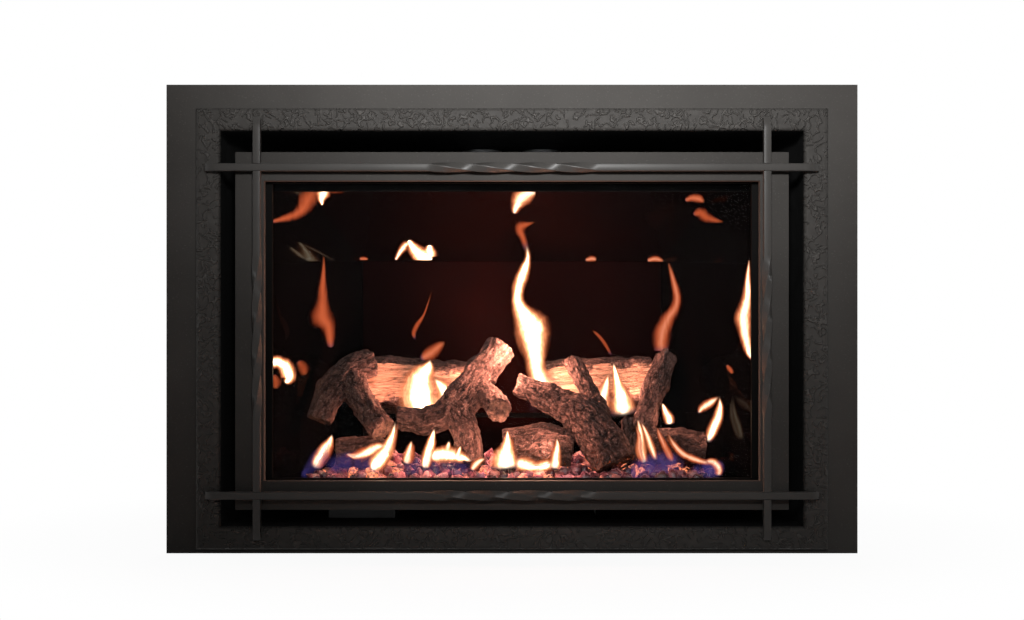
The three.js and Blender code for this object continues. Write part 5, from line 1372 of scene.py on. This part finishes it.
class INSERT_OT_embers(bpy.types.Operator):
    """Strew the ember and glass pieces over the burner"""

    bl_idname = "insert.embers"
    bl_label = "Ember bed"

    def execute(self, context):
        settings = context.scene.insert_embers
        glass = glass_and_embers("embers and crushed glass")
        tree = heap_tree()
        heap = bmesh.new()
        for layer, rise in enumerate(BED_LAYERS):
            heap.from_mesh(tree.grow(
                glass, bed_top(rise), Density=settings.density, Size=settings.size, Seed=settings.seed + layer
            ))
        under = node_copy("ember_bed")
        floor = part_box("ember_bed")[0].z + 0.003
        for vertex in under.vertices:
            if vertex.co.z > floor:
                vertex.co.z -= 0.0075
        heap.from_mesh(under)
        mesh = bpy.data.meshes.new("ember_bed_heap")
        heap.to_mesh(mesh)
        heap.free()
        mesh.shade_smooth()
        keep_piece("ember_bed_heap", mesh, glass, "root", "ember_glass", "ember_bed")
        return {"FINISHED"}


class INSERT_OT_flames(bpy.types.Operator):
    """Build the flames over the bed and their images in the panels"""

    bl_idname = "insert.flames"
    bl_label = "Flames"

    def execute(self, context):
        settings = context.scene.insert_flames
        fire = burning_gas("burning gas", settings.glow)
        keep_piece("flames", flame_mesh(settings.thickness, context.scene.insert_stage), fire, "root", "ember_glass")
        return {"FINISHED"}


def mark_inside(node, mesh):
    """Marks the points of a casing's sheet whose faces look inwards, which the finish turns to near-black painted
    shade, and closes the top sheet down to the case.
    """
    if node == "case_top":
        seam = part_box(node)[0].z + 0.0006
        for vertex in mesh.vertices:
            if vertex.co.z < seam:
                vertex.co.z -= 0.0004
    low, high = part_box("outer_case")
    middle = (low + high) / 2
    votes = np.zeros(len(mesh.vertices))
    for face in mesh.polygons:
        inwards = face.normal.dot((middle - face.center).normalized()) > 0.0
        for corner in face.vertices:
            votes[corner] += face.area if inwards else -face.area
    give(mesh, "inside", votes > 0)


def mark_under(node, mesh):
    """Marks the points of a collar that lie under the casing's top, which the finish turns to near-black painted shade.
    """
    give(mesh, "inside", vectors_of(mesh.vertices, "co")[:, 2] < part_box("case_top")[0].z)


class INSERT_OT_casing(bpy.types.Operator):
    """Ease the casing's folds and set its screws"""

    bl_idname = "insert.casing"
    bl_label = "Casing"

    def execute(self, context):
        ease(0.0006, "base_frame")
        ease(0.0005, "outer_case", "case_top", change=mark_inside)
        ease(0.0004, *(node for node in SLOT_OF if "collar" in node), change=mark_under)
        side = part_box("outer_case")[1].x
        rows = [(sign, z) for sign in (-1.0, 1.0) for z in SCREW_HEIGHTS]
        spots = mesh_of("spots", [(sign * side, FACE_Y + SCREW_DEPTH, z) for sign, z in rows], [], turn_out=False)
        give(spots, "faces", [(sign, 0.0, 0.0) for sign, _ in rows], "FLOAT_VECTOR")
        mesh = screw_tree().grow(finish("zinc_plate"), spots, Radius=SCREW_RADIUS)
        smooth_within(mesh, 30.0)
        keep_piece("case_screws", mesh, None, "root", "zinc_plate")
        return {"FINISHED"}


class INSERT_OT_controls(bpy.types.Operator):
    """Ease the knobs, the button, the switch and their panel"""

    bl_idname = "insert.controls"
    bl_label = "Controls and blower"

    def execute(self, context):
        ease(0.0006, "valve_knob", "flame_knob", "fan_knob", "igniter_button", "burner_switch")
        ease(0.0004, "control_panel", "control_module", "fan_control", "blower_housing", "gas_valve")
        return {"FINISHED"}


# ---------------------------------------------------------------- the stage

# All places here are in millimetres, as place() takes them.
# Lamps in the flames: their place and power.
FIRE_LAMPS = (
    (-172, 222, 268, 1.80), (-120, 228, 246, 0.55), (58, 215, 262, 0.70), (44, 205, 350, 0.60),
    (16, 142, 352, 1.70), (2, 116, 292, 0.45), (212, 222, 256, 0.62), (160, 228, 250, 0.25),
    (285, 140, 232, 0.08), (352, 110, 200, 0.04), (-335, 74, 168, 0.05), (-225, 66, 178, 0.20),
    (-130, 64, 178, 0.32), (-30, 62, 178, 0.38), (60, 62, 178, 0.45), (236, 70, 178, 0.05),
    (8, 168, 362, 0.60),
)
FIRE_COLOUR = (1.0, 0.50, 0.36)
FIRE_RADIUS = 0.016
# Soft lamps: name, place, aim, width, height, spread in degrees, and power for a fill lamp's.
SOFT_LAMPS = (
    ("left lamp", (-2300, 420, 750), (-500, 360, 400), 0.5, 0.5, 46.0, 1.0),
    ("right lamp", (2300, 420, 750), (500, 360, 400), 0.5, 0.5, 46.0, 1.0),
    ("rear lamp", (600, 3000, 1500), (0, 500, 400), 1.0, 0.8, 50.0, 2.6),
    ("over lamp", (-200, 900, 2400), (0, 360, 800), 1.0, 0.6, 44.0, 1.0),
)
# The two lamps before the front stand in one place: name, aim, half angle and power.
FRONT_LAMP_PLACE = (56, -2000, 1072)
FRONT_LAMPS = (("near lamp", (97, 0, 1015), 0.392, 166.0), ("wide lamp", (195, 0, 1104), 0.650, 113.0))
FRONT_LAMP_RADIUS = 0.12
FLOOR_HALF = 9.0


def set_object(name, data, where=None, aim=None):
    """Sets a lamp or the camera in its place, facing its aim."""
    holder = bpy.data.objects.new(name, data)
    bpy.context.collection.objects.link(holder)
    if where is not None:
        holder.location = where
    if aim is not None:
        holder.rotation_euler = (aim - where).to_track_quat("-Z", "Y").to_euler()
    return holder


def set_lamp(name, kind, power, where, aim=None, **values):
    """Sets a lamp, which the camera doesn't see."""
    lamp = bpy.data.lights.new(name, kind)
    lamp.energy = power
    for key, value in values.items():
        setattr(lamp, key, value)
    holder = set_object(name, lamp, where, aim)
    holder.visible_camera = False
    return holder


class INSERT_OT_stage(bpy.types.Operator):
    """Set the floor, the lamps, the even light and the camera"""

    bl_idname = "insert.stage"
    bl_label = "Stage"

    def execute(self, context):
        settings = context.scene.insert_stage
        corners = [(x * FLOOR_HALF, y * FLOOR_HALF, 0) for x, y in ((-1, -1), (1, -1), (1, 1), (-1, 1))]
        floor = mesh_of("floor", corners, [(0, 1, 2, 3)], turn_out=False)
        floor.materials.append(pale_floor("pale floor"))
        set_object("floor", floor)
        even_light(settings.ambient)
        for name, where, aim, width, height, spread, share in SOFT_LAMPS:
            set_lamp(
                name, "AREA", share * settings.fill_lamp, place(*where), place(*aim),
                shape="RECTANGLE", size=width, size_y=height, spread=math.radians(spread),
            )
        for name, aim, half, power in FRONT_LAMPS:
            set_lamp(
                name, "SPOT", power * settings.front_lamps, place(*FRONT_LAMP_PLACE), place(*aim),
                spot_size=2 * half, spot_blend=1.0, shadow_soft_size=FRONT_LAMP_RADIUS,
            )
        for *where, power in FIRE_LAMPS:
            power *= settings.fire_lamps
            lamp = set_lamp("fire lamp", "POINT", power, place(*where), shadow_soft_size=FIRE_RADIUS, color=FIRE_COLOUR)
            lamp.visible_glossy = False
        camera = bpy.data.cameras.new("camera")
        camera.lens = settings.lens
        camera.sensor_width = 36.0
        camera.clip_start, camera.clip_end = 0.05, 60.0
        holder = set_object("camera", camera, Vector((0.0, FACE_Y - settings.distance, settings.height)))
        holder.rotation_euler = (math.pi / 2, 0.0, 0.0)
        context.scene.camera = holder
        context.scene.view_settings.view_transform = "Standard"
        return {"FINISHED"}


def plain_rays(graph):
    """One for the rays that see or mirror what they hit, nought for those that gather its light."""
    ray = graph.tree.nodes.new("ShaderNodeLightPath")
    kinds = ("Camera", "Glossy", "Transmission")
    camera, glossy, through = (Wire(graph, ray.outputs[f"Is {kind} Ray"]) for kind in kinds)
    return camera.most(glossy).most(through)


def pale_floor(name):
    """A floor that shows as white from the camera, with the object's shadow kept."""
    f = Finish(name, Specular_IOR_Level=0.2, Roughness=0.8)
    f.set("Base Color", f.blend(f.spots(3.0, 3.0), (0.80, 0.80, 0.80), (0.84, 0.84, 0.84)))
    shine = f.node("ShaderNodeEmission", Color=WHITE, Strength=1.0)
    x, y = f.axis(f.coords, "X"), f.axis(f.coords, "Y")
    far = f.between((x * x * 0.55 + y * y) ** 0.5, 0.30, 0.85, 0.94, 1.0)
    mix = f.ordered("ShaderNodeMixShader", {}, plain_rays(f) * far, Wire(f, f.shader.outputs[0]), shine)
    f.feed(f.end.inputs["Surface"], mix)
    return f.material


def even_light(strength):
    """A white room: full white where it is seen or mirrored, and a plain even light on the object."""
    world = bpy.data.worlds.new("studio")
    world.use_nodes = True
    bpy.context.scene.world = world
    g = Graph(world.node_tree)
    g.tree.nodes.clear()
    level = plain_rays(g) * (1.0 - strength) + strength
    light = g.node("ShaderNodeBackground", Color=WHITE, Strength=level)
    g.feed(g.tree.nodes.new("ShaderNodeOutputWorld").inputs["Surface"], light)


OPERATORS = (
    INSERT_OT_finishes,
    INSERT_OT_surround,
    INSERT_OT_forged_frame,
    INSERT_OT_bars,
    INSERT_OT_glass_door,
    INSERT_OT_firebox,
    INSERT_OT_logs,
    INSERT_OT_embers,
    INSERT_OT_flames,
    INSERT_OT_casing,
    INSERT_OT_controls,
    INSERT_OT_stage,
)


class INSERT_PT_build(bpy.types.Panel):
    """The insert's settings, and a button for each of its operators"""

    bl_idname = "INSERT_PT_build"
    bl_label = "Gas fireplace insert"
    bl_space_type = "VIEW_3D"
    bl_region_type = "UI"
    bl_category = "Insert"

    def draw(self, context):
        for name, kind in SETTINGS.items():
            box = self.layout.box()
            box.label(text=kind.__doc__)
            for key in kind.__annotations__:
                box.prop(getattr(context.scene, name), key)
        column = self.layout.column(align=True)
        for operator in OPERATORS:
            column.operator(operator.bl_idname)


def register():
    for kind in (*SETTINGS.values(), *OPERATORS, INSERT_PT_build):
        bpy.utils.register_class(kind)
    for name, kind in SETTINGS.items():
        setattr(bpy.types.Scene, name, PointerProperty(type=kind))


def unregister():
    for name in SETTINGS:
        delattr(bpy.types.Scene, name)
    for kind in (INSERT_PT_build, *reversed(OPERATORS), *SETTINGS.values()):
        bpy.utils.unregister_class(kind)


def main():
    register()
    bpy.ops.insert.finishes()
    bpy.ops.insert.surround()
    bpy.ops.insert.forged_frame()
    bpy.ops.insert.bars()
    bpy.ops.insert.glass_door()
    bpy.ops.insert.firebox()
    bpy.ops.insert.logs()
    bpy.ops.insert.embers()
    bpy.ops.insert.flames()
    bpy.ops.insert.casing()
    bpy.ops.insert.controls()
    bpy.ops.insert.stage()


if __name__ == "__main__":
    main()
